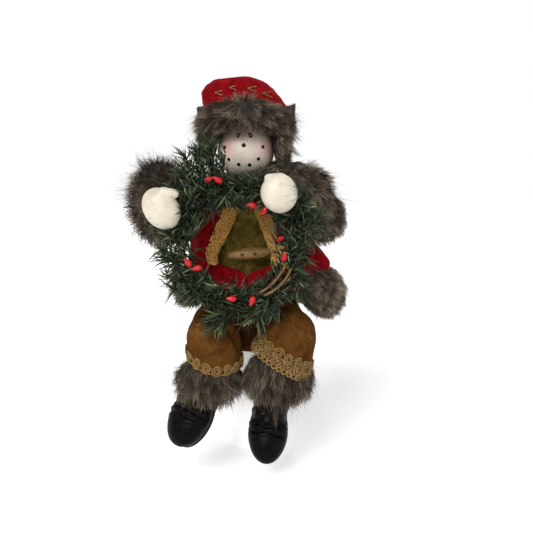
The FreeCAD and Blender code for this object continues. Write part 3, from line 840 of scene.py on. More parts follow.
def roll(name, steps, half, thick, sides, level):
    """Closed ring round the doll, in millimetres: half width and depth, section, and height by angle."""
    rings = []
    for angle in np.linspace(0, 2 * math.pi, steps + 1):
        rings.append([((half[0] + thick[0] * math.cos(turn)) * math.cos(angle) * MM,
                       (half[1] + thick[1] * math.cos(turn)) * math.sin(angle) * MM - 1 * MM,
                       (level(angle) + thick[2] * math.sin(turn)) * MM) for turn in circle(sides)])
    return skin(name, rings, caps=False)


def comb_brim(roots):
    """Brim fur lies sideways from the front and a little down."""
    flow = np.zeros_like(roots)
    flow[:, 0] = np.clip(roots[:, 0] / (24 * MM), -1, 1)
    flow[:, 2] = 0.5 * (roots[:, 2] - 173 * MM) / (8 * MM) - 0.35
    return flow


def comb_aside(across, fall):
    """Fur that lies away from the doll's middle and falls."""
    def flow(roots):
        return np.stack([across * np.sign(roots[:, 0]), np.zeros(len(roots)), np.full(len(roots), -fall)], -1)
    return flow


def make_cap_stitches(crown):
    """Gold V stitches across the front of the crown."""
    tree = surface_tree(crown)
    stitches = []
    for x, z, size in ((-17.4, 187.2, 4.6), (-7.6, 190.2, 4.2), (5.4, 189.6, 5.2), (16.0, 186.6, 6.4)):
        nose = surface_hit(tree, x - size * 0.6, z)
        for rise in (1, -1):
            tail = surface_hit(tree, x + size * 0.5, z + rise * size * 0.36 - 0.4)
            middle = (nose + tail) / 2 + Vector((0, -0.7, 0)) * MM
            path = smooth_path([nose, middle, tail], 5)
            stitches.append(tube_mesh("stitch", path, 0.36 * MM, 6))
    add_joined("cap_stitches", stitches, "head", "gold")


def surface_tree(mesh):
    """Ray tracer for a mesh."""
    return BVHTree.FromPolygons([v.co[:] for v in mesh.vertices], [tuple(f.vertices) for f in mesh.polygons])


STITCH_LIFT = 0.35 * MM


def surface_hit(tree, x, z):
    """Point on a surface as seen from the front, x and z in millimetres, lifted by a stitch."""
    place = tree.ray_cast(Vector((x * MM, -0.3, z * MM)), Vector((0, 1, 0)))[0]
    return place - Vector((0, STITCH_LIFT, 0))


def make_back_flap():
    """Black felt flap turned up behind the cap."""
    rings = []
    low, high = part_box("cap_back_flap")
    for height, out in ((0.0, 0.6), (0.3, 0.0), (0.7, 0.1), (1.0, 0.9)):
        level = low[2] + (high[2] - low[2]) * height
        row = []
        for angle in np.linspace(math.radians(-14), math.radians(176), 60):
            wave = 0.8 * math.sin(angle * 5) * height + 0.5 * math.sin(angle * 11 + 2)
            radius = (34.6 + out + 0.5 * wave) * MM
            row.append((radius * math.cos(angle), radius * math.sin(angle) - 1 * MM,
                        level + 1.4 * MM * math.sin(angle * 3 + 1) * height))
        rings.append(row)
    felt = skin("cap_back_felt", rings, closed=False, caps=False)
    flap = add_object("cap_back_felt", felt, "head", "black_felt")
    thicken(flap, 1.5 * MM)
    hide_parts("cap_back_flap")


def thicken(piece, thickness):
    """Give a cloth piece its thickness, to both sides, and smooth it."""
    solid = piece.modifiers.new("solid", "SOLIDIFY")
    solid.thickness = thickness
    solid.offset = 0.0
    soft = piece.modifiers.new("soft", "SUBSURF")
    soft.levels = soft.render_levels = 1
    mesh = bpy.data.meshes.new_from_object(piece.evaluated_get(bpy.context.evaluated_depsgraph_get()))
    piece.modifiers.clear()
    piece.data = mesh


make_face()
make_cap()


# --- coat, vest and toggle ----------------------------------------------------------------------
# Level outlines of coat and torso: height, centre x, half width, half depth.  The coat is a little wider at
# the chest than the frame's coat_body.
COAT = [(47, 5, 50, 32), (66, 10, 53, 31), (76, 7, 49, 30), (86, 1, 43, 28.5), (97, -2, 38, 27),
        (110, 0, 30, 23), (124, 0, 17.5, 15)]
TORSO = [(44, 1, 31, 22), (66, 1, 32, 24.5), (90, 0, 29, 22), (110, 0, 24, 18), (123, 0, 14, 12)]
TORSO_Y = 4.0


def outline(table, height):
    """Centre x, half width and half depth of a body outline at a height, in millimetres."""
    columns = np.array(table, dtype=float).T
    return [float(np.interp(height, columns[0], column)) for column in columns[1:]]


def body_point(table, angle, height, grow):
    """Point on a body outline, in metres; angle from +X round to the back."""
    x, wide, deep = outline(table, height)
    return np.array([x + (wide + grow) * math.cos(angle), TORSO_Y + (deep + grow) * math.sin(angle),
                     height]) * MM


def edge_angle(table, x, height):
    """Front angle at which an outline is at x."""
    centre, wide, _ = outline(table, height)
    return -math.acos(max(-1.0, min(1.0, (x - centre) / wide)))


def coat_edge(side, height):
    """x of each front edge of the coat; the fronts meet again at the hem."""
    edge = [0.6, 0.6, -20, -20.5, -9.5, -2.5, -1] if side < 0 else [1.2, 1.2, 20, 19.5, 10.5, 4, 3]
    return float(np.interp(height, [47, 62, 68, 76, 100, 118, 124], edge))


def make_coat():
    """Velvet coat, open over the vest, with soft folds."""
    rings = []
    for height in np.linspace(47, 124, 40):
        start = edge_angle(COAT, coat_edge(1, height), height)
        stop = 2 * math.pi + edge_angle(COAT, coat_edge(-1, height), height)
        row = []
        for angle in np.linspace(start, stop, 120):
            fold = 1.3 * math.sin(angle * 9 + height * 0.05) * np.interp(height, [47, 110], [1, 0.2])
            row.append(body_point(COAT, angle, height, fold - 1.2))
        rings.append(row)
    coat = skin("coat_cloth", rings, closed=False, caps=False)
    knead(coat, (15, 7, 0.8))
    piece = add_object("coat_cloth", coat, "root", "velvet")
    thicken(piece, 2.2 * MM)
    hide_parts("coat_body")


def make_vest():
    """Olive felt vest front, a little creased."""
    rings = []
    for height in np.linspace(55, 119, 34):
        half = float(np.interp(height, [55, 119], [30, 9]))
        start, stop = edge_angle(TORSO, half, height), edge_angle(TORSO, -half, height)
        row = []
        for share in np.linspace(0, 1, 44):
            angle = start + (stop - start) * share
            crease = 0.5 * math.sin(angle * 12 + height * 0.11)
            row.append(body_point(TORSO, angle, height, 1.2 + crease))
        rings.append(row)
    vest = skin("vest_cloth", rings, closed=False, caps=False)
    knead(vest, (11, 9, 0.8))
    piece = add_object("vest_cloth", vest, "root", "felt")
    thicken(piece, 1.6 * MM)
    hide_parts("vest", "torso_body")


def plait(name, path, normals, width, cord_r, period, strands):
    """Flat plait along a path: cords that swing from side to side and over each other."""
    path, normals = np.asarray(path, dtype=float), unit(np.asarray(normals, dtype=float))
    along = unit(np.gradient(path, axis=0))
    across = unit(np.cross(along, normals))
    run = run_of(path)
    cords = []
    for index in range(strands):
        phase = 2 * math.pi * (run / period + index / strands)
        sway = np.sin(phase) * (width / 2 - cord_r)
        rise = np.cos(phase * 2 + 0.6 * index) * cord_r * 0.9
        cords.append(tube_mesh(name, path + across * sway[:, None] + normals * rise[:, None], cord_r, 7))
    return cords


def make_braids():
    """Gold braid along both front edges."""
    width, inset, lift = 10.4 * MM, 2.6, 1.3
    for side, sign in SIDES.items():
        heights = np.linspace(118, 68, 150)
        path = [body_point(COAT, edge_angle(COAT, coat_edge(sign, h) + sign * inset, h), h, lift)
                for h in heights]
        x0 = np.array([outline(COAT, h)[0] for h in heights]) * MM
        normals = np.array(path) - np.stack([x0, np.full(len(path), TORSO_Y * MM), heights * MM], -1)
        cords = plait("coat_gimp_" + side, path, normals, width, 1.1 * MM, 8.0 * MM, 5)
        cords += knots(path, normals, width, 2.7 * MM)
        # The coat's braids take the lighter copy of the gold cord, which is painted light.
        piece = add_joined("coat_gimp_" + side, cords, "root", "coat_braid_gold_painted_light")
        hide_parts("coat_braid_" + side)


def knots(path, normals, width, pitch):
    """Small loops of cord on top of a plait, which make it look knotted."""
    path, normals = np.asarray(path), unit(np.asarray(normals))
    run = run_of(path)
    loops = []
    for index, place in enumerate(np.arange(pitch, run[-1] - pitch, pitch)):
        at = int(np.searchsorted(run, place))
        along = unit((path[at] - path[at - 1])[None])[0]
        across = np.cross(along, normals[at])
        for side in (-3, -1, 1, 3):
            centre = path[at] + across * side * width * 0.125 + normals[at] * 1.1 * MM
            centre = centre + along * pitch * 0.5 * ((side + index) % 4 > 1)
            turn = np.linspace(0, 1.7 * math.pi, 10) + RNG.uniform(0, 6)
            curl = centre + 1.55 * MM * (np.cos(turn)[:, None] * along + np.sin(turn)[:, None] * across)
            curl += normals[at] * np.linspace(0, 0.6 * MM, 10)[:, None]
            loops.append(tube_mesh("loop", curl, 0.60 * MM, 5))
    return loops


def make_toggle():
    """The wooden toggle keeps its frame shape; thread holds it to the coat."""
    repaint("toggle_button", "wood")
    middle = node_centre("toggle_button")
    threads = []
    for hole in (-4.5, 4.5):
        for offset in (-0.5, 0.1, 0.6):
            start = middle + Vector((hole + offset, -4.3, 0.55 * hole / 4.5)) * MM
            end = middle + Vector((hole * 0.6, 7.0, 0)) * MM
            threads.append(tube_mesh("thread", smooth_path([start, (start + end) / 2, end], 4), 0.3 * MM, 6))
    add_joined("toggle_thread", threads, "root", "gold")


make_coat()
make_vest()
make_braids()
make_toggle()


# --- fur trims of the coat ----------------------------------------------------------------------
def comb_out(centre, down):
    """Fur that flows away from a centre and down."""
    def flow(roots):
        away = roots - np.array(centre)
        away[:, 2] = 0
        away = unit(away)
        away[:, 2] = -down
        return away
    return flow


def make_hem_fur():
    """Thick fur roll round the coat's hem, open at the front."""
    centre, wide, deep = Vector((8, TORSO_Y, 48.5)), 51.0, 32.0
    first, last = math.radians(-51), math.radians(227)
    rings = []
    for angle in np.linspace(first, last, 72):
        out = np.array([math.cos(angle) * deep, math.sin(angle) * wide, 0])
        out /= np.linalg.norm(out)
        near_end = min(angle - first, last - angle)
        ends = min(1.0, 0.62 + 0.9 * near_end)
        front = 5.0 * max(0.0, 1 - near_end / 0.7)
        sag = 5.5 * max(0.0, math.cos(angle)) ** 1.5
        place = np.array([centre.x + wide * math.cos(angle), centre.y + deep * math.sin(angle),
                          centre.z + front - sag])
        puff = 11.5 + 1.2 * math.cos(angle) + 0.5 * math.sin(angle * 5)
        tall = puff * (1.36 - 0.4 * front / 5)
        upright = np.array([0, 0, tall])
        rings.append([(place + (out * math.cos(turn) * puff + upright * math.sin(turn)) * ends) * MM
                      for turn in circle(24)])
    hem = skin("hem", rings)
    knead(hem, (14, 11, 1.0))
    fur("coat_hem_pile", hem, "root", "coat_hem_fur", 150, 7.5 * MM, comb_out(centre * MM, 0.8), lean=0.6,
        tint="hem_fur", keep=lambda p: ((p[:, 2] > 36 * MM) | (np.abs(p[:, 0] - 8 * MM) > 36 * MM))
        & (np.hypot(p[:, 0] - 8 * MM, 1.5 * (p[:, 1] - 4 * MM)) > 42 * MM))


def collar_level(angle):
    """Height of the collar's middle, higher at the doll's left."""
    return 127.0 + 6.0 * math.cos(angle) + 2.0 * math.sin(angle)


def make_collar():
    """Fur collar below the head."""
    collar = roll("collar", 59, (23.6, 21), (7.0, 6.5, 7.2), 18, collar_level)
    fur("collar_pile", collar, "root", "collar_fur", 160, 8.5 * MM, comb_out((0, -1 * MM, 0), 0.7), lean=0.6)


make_hem_fur()
make_collar()


# --- arms ---------------------------------------------------------------------------------------
ARMS = {
    "right": {"shoulder": (-38, 1, 114), "shoulder_r": 14.4, "elbow": (-61, -12, 110),
              "wrist": (-57, -36, 111), "r": 14.8,
              "cuff": (-58, -33, 113), "cuff_r": (19.5, 10.0, 27.5), "wild": 0.2, "palm": (-53, -62, 110.5),
              "palm_r": (11.6, 11.0, 14.6), "lean": -33.5, "thumb": [(-51, -67, 121), (-43.6, -67, 120.4)]},
    "left": {"shoulder": (33.5, 1, 123.5), "shoulder_r": 17.0, "elbow": (53.5, -6, 101.0),
             "wrist": (37, -36, 117), "r": 17.2,
             "cuff": (43, -38, 119), "cuff_r": (14.5, 9, 17.5), "wild": 0.06, "palm": (23, -68, 120.7),
             "palm_r": (12.6, 11.2, 11.8), "lean": 78.0, "thumb": [(24, -67, 130.0), (16.4, -68, 130.2)]},
}


def capsule(start, end, first_r, last_r, steps=10):
    """Row of overlapping balls, which the remesh melts into a limb."""
    start, end = Vector(start) * MM, Vector(end) * MM
    return [egg(start.lerp(end, t), (first_r + (last_r - first_r) * t,) * 3, None, 20, 14)
            for t in np.linspace(0, 1, steps)]


def make_arms():
    """Fur sleeves and cuffs, and painted mittens."""
    for side, sign in SIDES.items():
        arm = ARMS[side]
        parts = capsule(arm["shoulder"], arm["elbow"], arm["shoulder_r"] * MM, arm["r"] * MM)
        parts += capsule(arm["elbow"], arm["wrist"], arm["r"] * MM, arm["r"] * MM * 0.9)
        sleeve = melt("sleeve_base_" + side, parts, 1.6 * MM)
        knead(sleeve, (13, 13, 0.9))
        fur("sleeve_pile_" + side, sleeve, "arms", "sleeve_" + side, 150, 8.5 * MM, comb_aside(0.7, 0.8),
            lean=0.58, replaces=("arm_wire",) if sign < 0 else ())
        cuff = egg(Vector(arm["cuff"]) * MM, Vector(arm["cuff_r"]) * MM, None, 40, 28)
        knead(cuff, (12, 15, 0.9))
        fur("cuff_pile_" + side, cuff, "arms", "cuff_fur_" + side, 160, 8.5 * MM,
            comb_cuff(Vector(arm["palm"]) * MM), lean=0.55, wild=arm["wild"])
        make_mitten(side, arm)


def comb_cuff(palm):
    """Cuff fur flares away from the hand."""
    def flow(roots):
        away = roots - np.array(palm)
        away[:, 1] = -0.25 * np.abs(away[:, 1])
        return unit(away) + np.array([0, 0, -0.25])
    return flow


def make_mitten(side, arm):
    """Egg-shaped mitten with a thumb, painted cream."""
    turn = Matrix.Rotation(math.radians(arm["lean"]), 4, "Y")
    palm = egg(Vector(arm["palm"]) * MM, Vector(arm["palm_r"]) * MM, turn, 48, 36)
    start, end = (Vector(p) for p in arm["thumb"])
    thumb = capsule(start, end, 3.8 * MM, 3.0 * MM, 8)
    wrist = capsule(arm["palm"], arm["wrist"], 6 * MM, 6 * MM, 8)
    hand = melt("mitten_" + side, [palm] + thumb + wrist, 0.8 * MM, 5)
    knead(hand, (10, 17, 0.25))
    piece = add_object("mitten_skin_" + side, hand, "arms", "cream")
    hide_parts("mitten_" + side)


def make_stray_hairs():
    """Long dark hairs from the left cuff that lie over the mitten."""
    arm = ARMS["left"]
    palm, reach = np.array(arm["palm"]), np.array(arm["palm_r"]) + 0.8
    count = 16
    roots = np.stack([RNG.uniform(*span, count) for span in ((33, 37), (-66, -60), (119, 129))], -1)
    tips = np.stack([RNG.uniform(18, 28, count), np.full(count, -80.0), RNG.uniform(113, 129, count)], -1)
    stations = []
    for share in (0.0, 0.33, 0.67, 1.0):
        spots = roots + (tips - roots) * share
        out = np.linalg.norm((spots - palm) / reach, axis=1)
        stations.append((palm + (spots - palm) / np.minimum(out, 1.0)[:, None]) * MM)
    mesh = ribbon_mesh("mitten_stray_hairs", stations, np.full(count, 0.24 * MM), np.full(count, 0.02))
    add_object("mitten_stray_hairs", mesh, "arms", "fur")


make_arms()
make_stray_hairs()


# --- wreath -------------------------------------------------------------------------------------
def make_stems():
    """Wandering stems round the ring and short sprigs that leave it."""
    stems = []
    for phase, swing in ((0.0, 6.5), (1.3, 3.0), (2.6, 6.5), (3.9, 3.5), (5.2, 6.5)):
        turn = np.linspace(0, 2 * math.pi, 140)
        out = RING_R + swing * MM * np.cos(turn * 2 + phase) + 3 * MM * np.maximum(-np.cos(turn), 0)
        lift = swing * MM * np.sin(turn * 2 + phase) + 1.5 * MM
        stems.append(np.array([on_ring(a, r, f) for a, r, f in zip(turn, out, lift)]))
    sprigs = []
    for angle in np.radians(np.arange(0, 360, 12)):
        angle = angle + RNG.uniform(-0.08, 0.08)
        outward = RNG.uniform(-1, 1) > -0.25
        reach = RNG.uniform(7, 12) * (1 if outward else -0.7)
        sprigs.append(sprig(angle, RING_R + 3 * MM * (1 if outward else -1), reach, RNG.uniform(0.1, 0.28),
                            RNG.uniform(2, 10)))
    for degrees, start, reach, sweep, forward in SPRIGS:
        sprigs.append(sprig(math.radians(degrees), RING_R + start * MM, reach, sweep, forward))
    return stems, sprigs


# Listed sprigs: place on the ring, start from the ring's line, reach outwards, sweep, lift.
SPRIGS = [
    (112, 4, 28, 0.10, 2), (122, 4, 26, 0.16, 6), (104, 6, 18, 0.1, 9), (178, 4, 15, 0.25, 6),
    (192, 2, 15, 0.2, 4), (-60, 2, 12, 0.3, 10), (-92, 4, 17, 0.25, 8), (-100, 4, 16, 0.2, 4),
    (78, 2, 14, 0.12, 8), (22, 4, 14, -0.25, 5), (8, 3, 15, -0.2, 8), (-12, 0, -15, -0.3, 7),
    (-24, -2, -14, -0.3, 6), (150, 4, 14, 0.2, 8), (225, 2, 14, 0.2, 6), (138, 5, 17, 0.2, 10),
    (128, 6, 24, 0.12, 4), (117, 8, 25, 0.05, 8), (134, 4, 22, 0.15, 6), (107, 9, 21, -0.02, 6),
    (124, 6, 16, -0.1, 10),
]


def sprig(angle, start_r, reach, sweep, forward):
    """Short twig from the ring, in the ring's plane."""
    share = np.linspace(0, 1, 12)
    return np.array([on_ring(angle - sweep * s, start_r + reach * MM * s, (forward + 3 * s) * MM)
                     for s in share])


NEEDLE_SPACING = 0.47 * MM


def needles(stem, length, spread):
    """Roots and directions of needles all round a stem, leaning along it."""
    run = run_of(stem)
    count = int(run[-1] / NEEDLE_SPACING)
    at = np.sort(RNG.uniform(0, run[-1], count))
    roots = np.stack([np.interp(at, run, stem[:, k]) for k in range(3)], -1)
    along = unit(np.gradient(stem, axis=0))
    heading = np.stack([np.interp(at, run, along[:, k]) for k in range(3)], -1)
    out = unit(np.cross(heading, RNG.normal(size=(count, 3))))
    lean = RNG.uniform(*spread, count)[:, None]
    return roots, unit(heading * (1 - lean) + out * lean), length * RNG.uniform(0.7, 1.15, count)


def clear_of_openings(tips):
    """Which needles stay: most of those that reach over the wreath's hole or the face are left out."""
    across, up = tips[:, 0] - RING.x, (tips[:, 2] - RING.z) / math.cos(RING_LEAN)
    out = np.hypot(across, up)
    left = np.maximum(-across / np.maximum(out, MM), 0)
    top = np.maximum(up / np.maximum(out, MM), 0)
    hole = (22 + 8 * left ** 1.5 - 2 * top) * MM
    over_face = (tips[:, 2] > 137 * MM) & (tips[:, 0] > -11.5 * MM) & (tips[:, 0] < 21 * MM)
    return ((out > hole) | (RNG.random(len(tips)) < 0.10)) & ~over_face


def make_wreath():
    """Evergreen ring: stems, flat needles, a few dry tips, berries and two bare twigs."""
    stems, sprigs = make_stems()
    wood = [tube_mesh("stem", path[::2], 0.8 * MM, 6) for path in stems]
    wood += [tube_mesh("sprig", path[::2], 0.6 * MM, 5) for path in sprigs]
    add_joined("wreath_stems", wood, "arms", "stem")
    batches = [needles(path, 13.5 * MM, (0.4, 0.9)) for path in stems]
    batches += [needles(path, 13.0 * MM, (0.3, 0.7)) for path in sprigs]
    roots, heading, length = (np.concatenate(part) for part in zip(*batches))
    keep = clear_of_openings(roots + heading * length[:, None])
    roots, heading, length = roots[keep], heading[keep], length[keep]
    dry = RNG.random(len(roots)) < 0.05
    for name, pick, colour, scale in (("wreath_needles", ~dry, "needles", 1.0),
                                      ("wreath_dry_tips", dry, "dry_needles", 0.5)):
        start, along, reach = roots[pick], heading[pick], length[pick][:, None] * scale
        bend = RNG.normal(scale=0.20, size=start.shape)
        middle = start + along * reach * 0.5
        tips = middle + unit(along + bend) * reach * 0.5
        width = 1.55 * MM * RNG.uniform(0.65, 1.15, len(start))
        mesh = blade_mesh(name, [start, middle, tips], width, 0.35)
        piece = add_object(name, mesh, "arms", colour)
        if name == "wreath_needles":
            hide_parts("wreath_greenery", "wreath_core")
    make_berries()
    make_twigs()


# Berries: angle on the ring in degrees, distance from the ring's centre in millimetres, tip direction.
BERRIES = [(115, 47, 20), (108, 44, 150), (72, 27, 170), (53, 27.5, 60), (8, 26, 30), (-15, 30, 80),
           (209, 31, 190), (199, 35, 120), (-98, 35, 175), (-77, 37, 250)]


def make_berries():
    """Lacquered berries with pointed ends."""
    berries = []
    tube_r, berry_r = 11.0, 2.3
    for degrees, ring_r, tip in BERRIES:
        offset = ring_r - RING_R / MM
        forward = math.sqrt((tube_r + berry_r) ** 2 - offset ** 2)
        place = np.array(on_ring(math.radians(degrees), ring_r * MM, (forward + 0.6) * MM))
        along = np.array([math.cos(math.radians(tip)), -0.25, math.sin(math.radians(tip))])
        shares = np.linspace(0, 1, 16)
        radius = 2.25 * MM * np.sin(math.pi * shares ** 0.75) ** 0.85 * (1 - 0.35 * shares) + 0.12 * MM
        path = place + along * ((shares - 0.45) * 7.2 * MM)[:, None]
        berries.append(tube_mesh("berry", path, radius, 18))
    piece = add_joined("wreath_berry_drops", berries, "arms", "berry")
    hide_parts("wreath_berries")


def make_twigs():
    """Two bare twigs along the lower front of the ring."""
    twigs = []
    for ring_r, first, last in ((33.0, -66, -20), (36.6, -64, -24)):
        path = []
        for degrees in np.linspace(first, last, 30):
            wander = 0.5 * math.sin(degrees * 0.09 + ring_r)
            path.append(on_ring(math.radians(degrees), (ring_r + wander) * MM, 12.8 * MM))
        swell = 1.0 + 0.12 * np.sin(np.linspace(0, 17, 30) + ring_r)
        twigs.append(tube_mesh("twig", path, 0.85 * MM * swell, 9))
    piece = add_joined("wreath_vine", twigs, "arms", "bark")
    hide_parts("wreath_twigs")


make_wreath()


# --- trousers and legs --------------------------------------------------------------------------
LEGS = {
    "right": {"knee_r": 18.8, "out": 0.0, "hem": (-20.5, -45.0, 3.0), "hem_r": 19.5, "tilt": 10.0,
              "dip": 12.0, "rise": 2.5, "wide_gimp": False,
              "cuff": (-25.0, -44.5, -8.5), "cuff_r": (21.0, 18.0, 16.0), "foot_r": 16.0,
              "ankle": (-36.0, -43.0, -28.0), "toe": (-0.34, -0.52, -0.78)},
    "left": {"knee_r": 20.2, "out": 2.6, "hem": (27.0, -45.5, 6.5), "hem_r": 22.5, "tilt": 31.0, "dip": 0.0,
             "rise": 0.0, "wide_gimp": True,
             "cuff": (23.5, -45.0, -6.0), "cuff_r": (22.5, 18.5, 19.0), "foot_r": 14.1,
             "ankle": (16.5, -43.5, -39.0), "toe": (-0.06, -0.55, -0.83)},
}


def hem_frame(leg):
    """Turning of the hem's tilted ring."""
    dip = Matrix.Rotation(math.radians(leg["dip"]), 4, "X")
    return dip @ Matrix.Rotation(math.radians(leg["tilt"]), 4, "Y")


def hem_point(leg, angle, radius, up):
    """Point beside the hem ring, in millimetres."""
    local = Vector((radius * math.cos(angle), radius * math.sin(angle), up))
    return Vector(leg["hem"]) + hem_frame(leg) @ local


def crease(mesh, start, end, depth, width):
    """Press a soft line into a mesh, from start to end in millimetres, with a swell on each side."""
    points = mesh_points(mesh)
    start, end = np.array(start) * MM, np.array(end) * MM
    run = end - start
    share = np.clip(((points - start) @ run) / (run @ run), 0, 1)
    apart = np.linalg.norm(points - start - share[:, None] * run, axis=1) / (width * MM)
    ends = np.sin(np.clip(share, 0.04, 0.96) * math.pi) ** 0.5
    push(mesh, -depth * MM * ends * (np.exp(-apart ** 2) - 0.45 * np.exp(-(apart - 1.9) ** 2)))


# Level outlines of the seat, as for the coat.
SEAT = [(0.4, 2, 30, 18), (3, 2, 34.5, 21), (12, 2, 37.6, 23), (30, 2, 38, 23.5), (42, 2, 34.5, 22),
        (46, 2, 28, 17)]


def make_trousers():
    """Suede-cloth trousers: the seat, and a leg from each hip down to its braided hem."""
    seat = []
    for height in np.linspace(0.4, 46, 30):
        x, wide, deep = outline(SEAT, height)
        seat.append([((x + wide * math.cos(a)) * MM, (6 + deep * math.sin(a)) * MM, height * MM)
                     for a in circle(90)])
    cloth = skin("seat_cloth", seat)
    points = mesh_points(cloth)
    push(cloth, lumps(points, 16 * MM, 21) * 0.8 * MM * np.clip(points[:, 2] / (8 * MM), 0, 1))
    piece = add_object("trouser_seat_cloth", cloth, "root", "suede")
    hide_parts("trouser_seat", "pellet_bag", "seat_stuffing")
    for side, leg in LEGS.items():
        cloth = make_trouser_leg(side, leg)
        make_hem_braid(side, leg, cloth)


def make_trouser_leg(side, leg):
    """One leg of the trousers, stuffed, bent at the knee."""
    knee = KNEES[side] / MM
    parts = capsule((knee.x, 6, 24), (knee.x, -30, 25), 15.5 * MM, 16.5 * MM, 9)
    parts += capsule((knee.x, -30, 24), (knee.x + leg["out"], -43.5, 20.5), 16.8 * MM, leg["knee_r"] * MM, 6)
    rings = []
    for share in np.linspace(0, 1, 10):
        row = []
        for angle in circle(48):
            low = hem_point(leg, angle, leg["hem_r"] - 0.6, -1.5)
            top = knee + Vector((leg["out"] + leg["knee_r"] * math.cos(angle),
                                 leg["knee_r"] * math.sin(angle), 2))
            row.append(low.lerp(top, share) * MM)
        rings.append(row)
    parts.append(skin("flare", rings))
    cloth = melt("trouser_leg_" + side, parts, 1.5 * MM, 8)
    knead(cloth, (15, 23, 1.1), (6, 24, 0.3))
    for start, end, depth, width in FOLDS[side]:
        crease(cloth, start, end, depth, width)
    piece = add_object("trouser_leg_cloth_" + side, cloth, "root", "suede")
    piece.parent = None
    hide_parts("trouser_leg_" + side, "thigh_" + side)
    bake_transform(piece)
    return cloth


# Folds of each trouser leg: from, to, depth and width in millimetres.
FOLDS = {
    "right": [((-32, -62, 8), (-8, -62, 16), 2.4, 2.2), ((-12, -58, 34), (-2, -52, 12), 2.2, 2.4),
              ((-38, -52, 30), (-30, -60, 18), 1.7, 2.6), ((-24, -66, 20), (-10, -64, 24), 1.5, 2.0)],
    "left": [((10, -58, 36), (32, -64, 33), 2.2, 2.2), ((14, -62, 28), (44, -56, 22), 2.0, 2.4),
             ((46, -48, 26), (38, -62, 8), 1.9, 2.2), ((20, -64, 22), (30, -66, 12), 1.6, 2.2)],
}


class HemWrap:
    """The trouser surface round a hem, unrolled: u runs round and v up the leg, in millimetres."""

    LEVELS = np.linspace(1.5, 12, 8)
    TURNS = 144

    def __init__(self, leg, cloth):
        self.leg = leg
        tree = surface_tree(cloth)
        rows = []
        for up in self.LEVELS:
            row = []
            for angle in circle(self.TURNS):
                start = hem_point(leg, angle, leg["hem_r"] + 9, up)
                inward = (hem_point(leg, angle, 0, up) - start).normalized()
                hit = tree.ray_cast(start * MM, inward, 20 * MM)[0]
                gone = 9.5 if hit is None else (hit / MM - start).length
                row.append(leg["hem_r"] + 9 - gone)
            rows.append(row)
        self.radii = np.array(rows)
        self.length = 2 * math.pi * (leg["hem_r"] + 1)

    def radius(self, angle, up):
        place = (angle / (2 * math.pi) * self.TURNS) % self.TURNS
        first, share = int(place) % self.TURNS, place % 1
        column = self.radii[:, first] * (1 - share) + self.radii[:, (first + 1) % self.TURNS] * share
        return float(np.interp(up, self.LEVELS, column))

    def place(self, u, v, lift):
        angle = u / self.length * 2 * math.pi
        up = v + self.leg["rise"] * math.cos(angle) ** 2
        return tuple(hem_point(self.leg, angle, self.radius(angle, up) + lift, up) * MM)

    def cord(self, us, vs, lifts, thick):
        path = [self.place(u, v, lift) for u, v, lift in zip(us, vs, np.broadcast_to(lifts, len(us)))]
        return tube_mesh("cord", path, thick * MM, 6)


def make_hem_braid(side, leg, cloth):
    """Scroll gimp round a trouser hem: a row of spirals, with a plait and loops below on the wide one."""
    wrap = HemWrap(leg, cloth)
    count = round(wrap.length / 8.4)
    pitch = wrap.length / count
    level = 5.6 if leg["wide_gimp"] else 3.0
    cords = []
    turns = np.linspace(0.35, 2.45, 30) * 2 * math.pi
    reach = np.linspace(0.5, 3.7, 30)
    for index in range(count):
        middle = (index + 0.5) * pitch
        tilt = RNG.uniform(0, 2 * math.pi)
        cords.append(wrap.cord(middle + reach * np.cos(turns + tilt), level + reach * np.sin(turns + tilt),
                               1.25 - 0.09 * reach, 0.62))
    fine = np.linspace(0, wrap.length, 420)
    wave = 2 * math.pi * fine / pitch
    cords.append(wrap.cord(fine, level - 3.3 + 0.7 * np.cos(wave), 0.6, 0.6))
    cords.append(wrap.cord(fine, level + 0.4 + 2.6 * np.sin(wave / 2), 0.2, 0.6))
    if leg["wide_gimp"]:
        for phase in (0, 2.1, 4.2):
            cords.append(wrap.cord(fine, -0.6 + 2.0 * np.sin(wave + phase),
                                   1.0 + 0.8 * np.cos(wave * 2 + phase), 0.72))
        for index in range(2 * count):
            middle = (index + 0.25) * pitch / 2
            loop = np.linspace(-0.3, 1.3, 14) * math.pi
            cords.append(wrap.cord(middle + 1.7 * np.cos(loop) + 0.8, -3.4 - 1.7 * np.sin(loop), 0.9, 0.7))
    piece = add_joined("hem_gimp_" + side, cords, "leg_" + side, "gold")
    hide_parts("hem_braid_" + side)


def comb_boot(roots):
    """Boot fur hangs down over the boot."""
    flow = unit(roots - np.array([roots[:, 0].mean(), roots[:, 1].mean(), 0]))
    flow[:, :2] *= 0.35
    flow[:, 2] = -1.0
    return flow


# A boot's foot from its ankle, in millimetres: how far forward and under, its depth, and the sole's face.
FOOT_FORWARD, FOOT_RISE, FOOT_DEPTH_R, SOLE_FACE = 8.5, 0.9, 11.0, 8.5
# How much a boot narrows by its sole, how far it sinks in, and where along the foot the filling out sets in.
SOLE_TAPER, SOLE_SINK, FILL_FROM, FILL_OVER = 0.28, 0.2, -2, 8


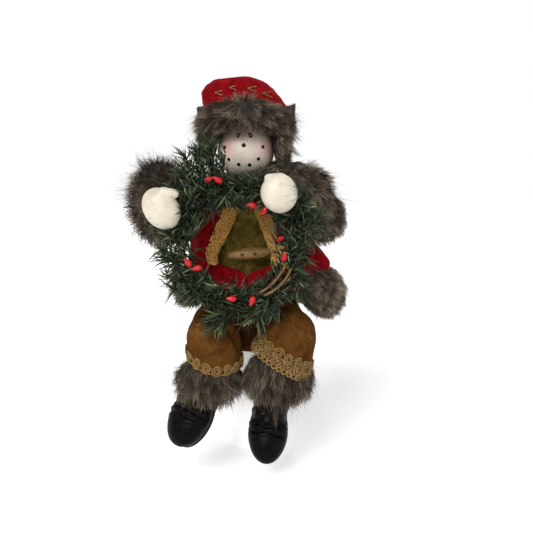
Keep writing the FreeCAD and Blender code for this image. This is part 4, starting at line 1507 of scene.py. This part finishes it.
def make_boots():
    """Vinyl boots with soft creases, and the fur at their tops."""
    for side, leg in LEGS.items():
        cuff = egg(Vector(leg["cuff"]) * MM, Vector(leg["cuff_r"]) * MM, None, 44, 28)
        knead(cuff, (12, 31, 1.0))
        fur("boot_pile_" + side, cuff, "leg_" + side, "boot_fur_" + side, 150, 11 * MM, comb_boot, lean=0.66,
            droop=0.3, wild=0.09)
        toe = Vector(leg["toe"]).normalized()
        across = Vector((0, 0, 1)).cross(toe).normalized()
        under = toe.cross(across)
        if under.z > 0:
            under = -under
        turn = Matrix((across, toe, under)).transposed().to_4x4()
        ankle = Vector(leg["ankle"])
        foot = egg((ankle + turn @ Vector((0, FOOT_FORWARD, FOOT_RISE))) * MM,
                   Vector((leg["foot_r"], 23.4, FOOT_DEPTH_R)) * MM, turn, 48, 36)
        knee = KNEES[side] / MM
        top = ankle.lerp(knee, 0.42)
        shaft = capsule(ankle, top, 12.8 * MM, 13.2 * MM, 8)
        boot = melt("boot_" + side, [foot] + shaft, 0.9 * MM)
        for along, depth in ((11.5, 0.9), (7.5, 1.4), (3.5, 1.5), (-0.5, 1.2), (-5, 0.9)):
            wrinkle(boot, (ankle + turn @ Vector((0, along, 0))) * MM, toe, -under, depth, 1.25)
        knead(boot, (14, 33, 0.35))
        seat_on_sole(boot, ankle, turn)
        piece = add_object("boot_vinyl_" + side, boot, "leg_" + side, "vinyl")
        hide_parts("boot_upper_" + side, "leg_tube_" + side)
        repaint("boot_sole_" + side, "sole")
        repaint("boot_heel_" + side, "sole")


def seat_on_sole(mesh, ankle, turn):
    """Fill out a boot's lower half towards the rim of its sole and level it at the sole's face."""
    axes = np.array(turn.to_3x3())
    local = (mesh_points(mesh) / MM - np.array(ankle)) @ axes
    drop = np.clip((local[:, 2] - FOOT_RISE) / FOOT_DEPTH_R, 0, (SOLE_FACE - FOOT_RISE) / FOOT_DEPTH_R)
    fuller = (1 - SOLE_TAPER * drop ** 2) / np.sqrt(1 - drop ** 2) - 1
    fuller *= np.clip((local[:, 1] - FILL_FROM) / FILL_OVER, 0, 1)
    local[:, 0] *= 1 + fuller
    local[:, 1] += (local[:, 1] - FOOT_FORWARD) * fuller
    local[:, 2] = np.minimum(local[:, 2], SOLE_FACE + SOLE_SINK)
    set_points(mesh, (local @ axes.T + np.array(ankle)) * MM)


def wrinkle(mesh, centre, axis, front, depth, width):
    """Press a wandering furrow across the front of a boot, square to an axis."""
    offset = mesh_points(mesh) - np.array(centre)
    along = offset @ np.array(axis)
    radial = unit(offset - along[:, None] * np.array(axis))
    facing = np.clip(radial @ np.array(front) + 0.15, 0, 1)
    across = radial @ np.cross(np.array(axis), np.array(front))
    along = (along + 1.5 * MM * across + 0.8 * MM * np.sin(across * 5 + centre.z / MM)) / (width * MM)
    push(mesh, -depth * MM * facing ** 0.6 * (np.exp(-along ** 2) - 0.5 * np.exp(-(along - 1.9) ** 2)))


make_trousers()
make_boots()

repaint("neck_dowel", "wood")
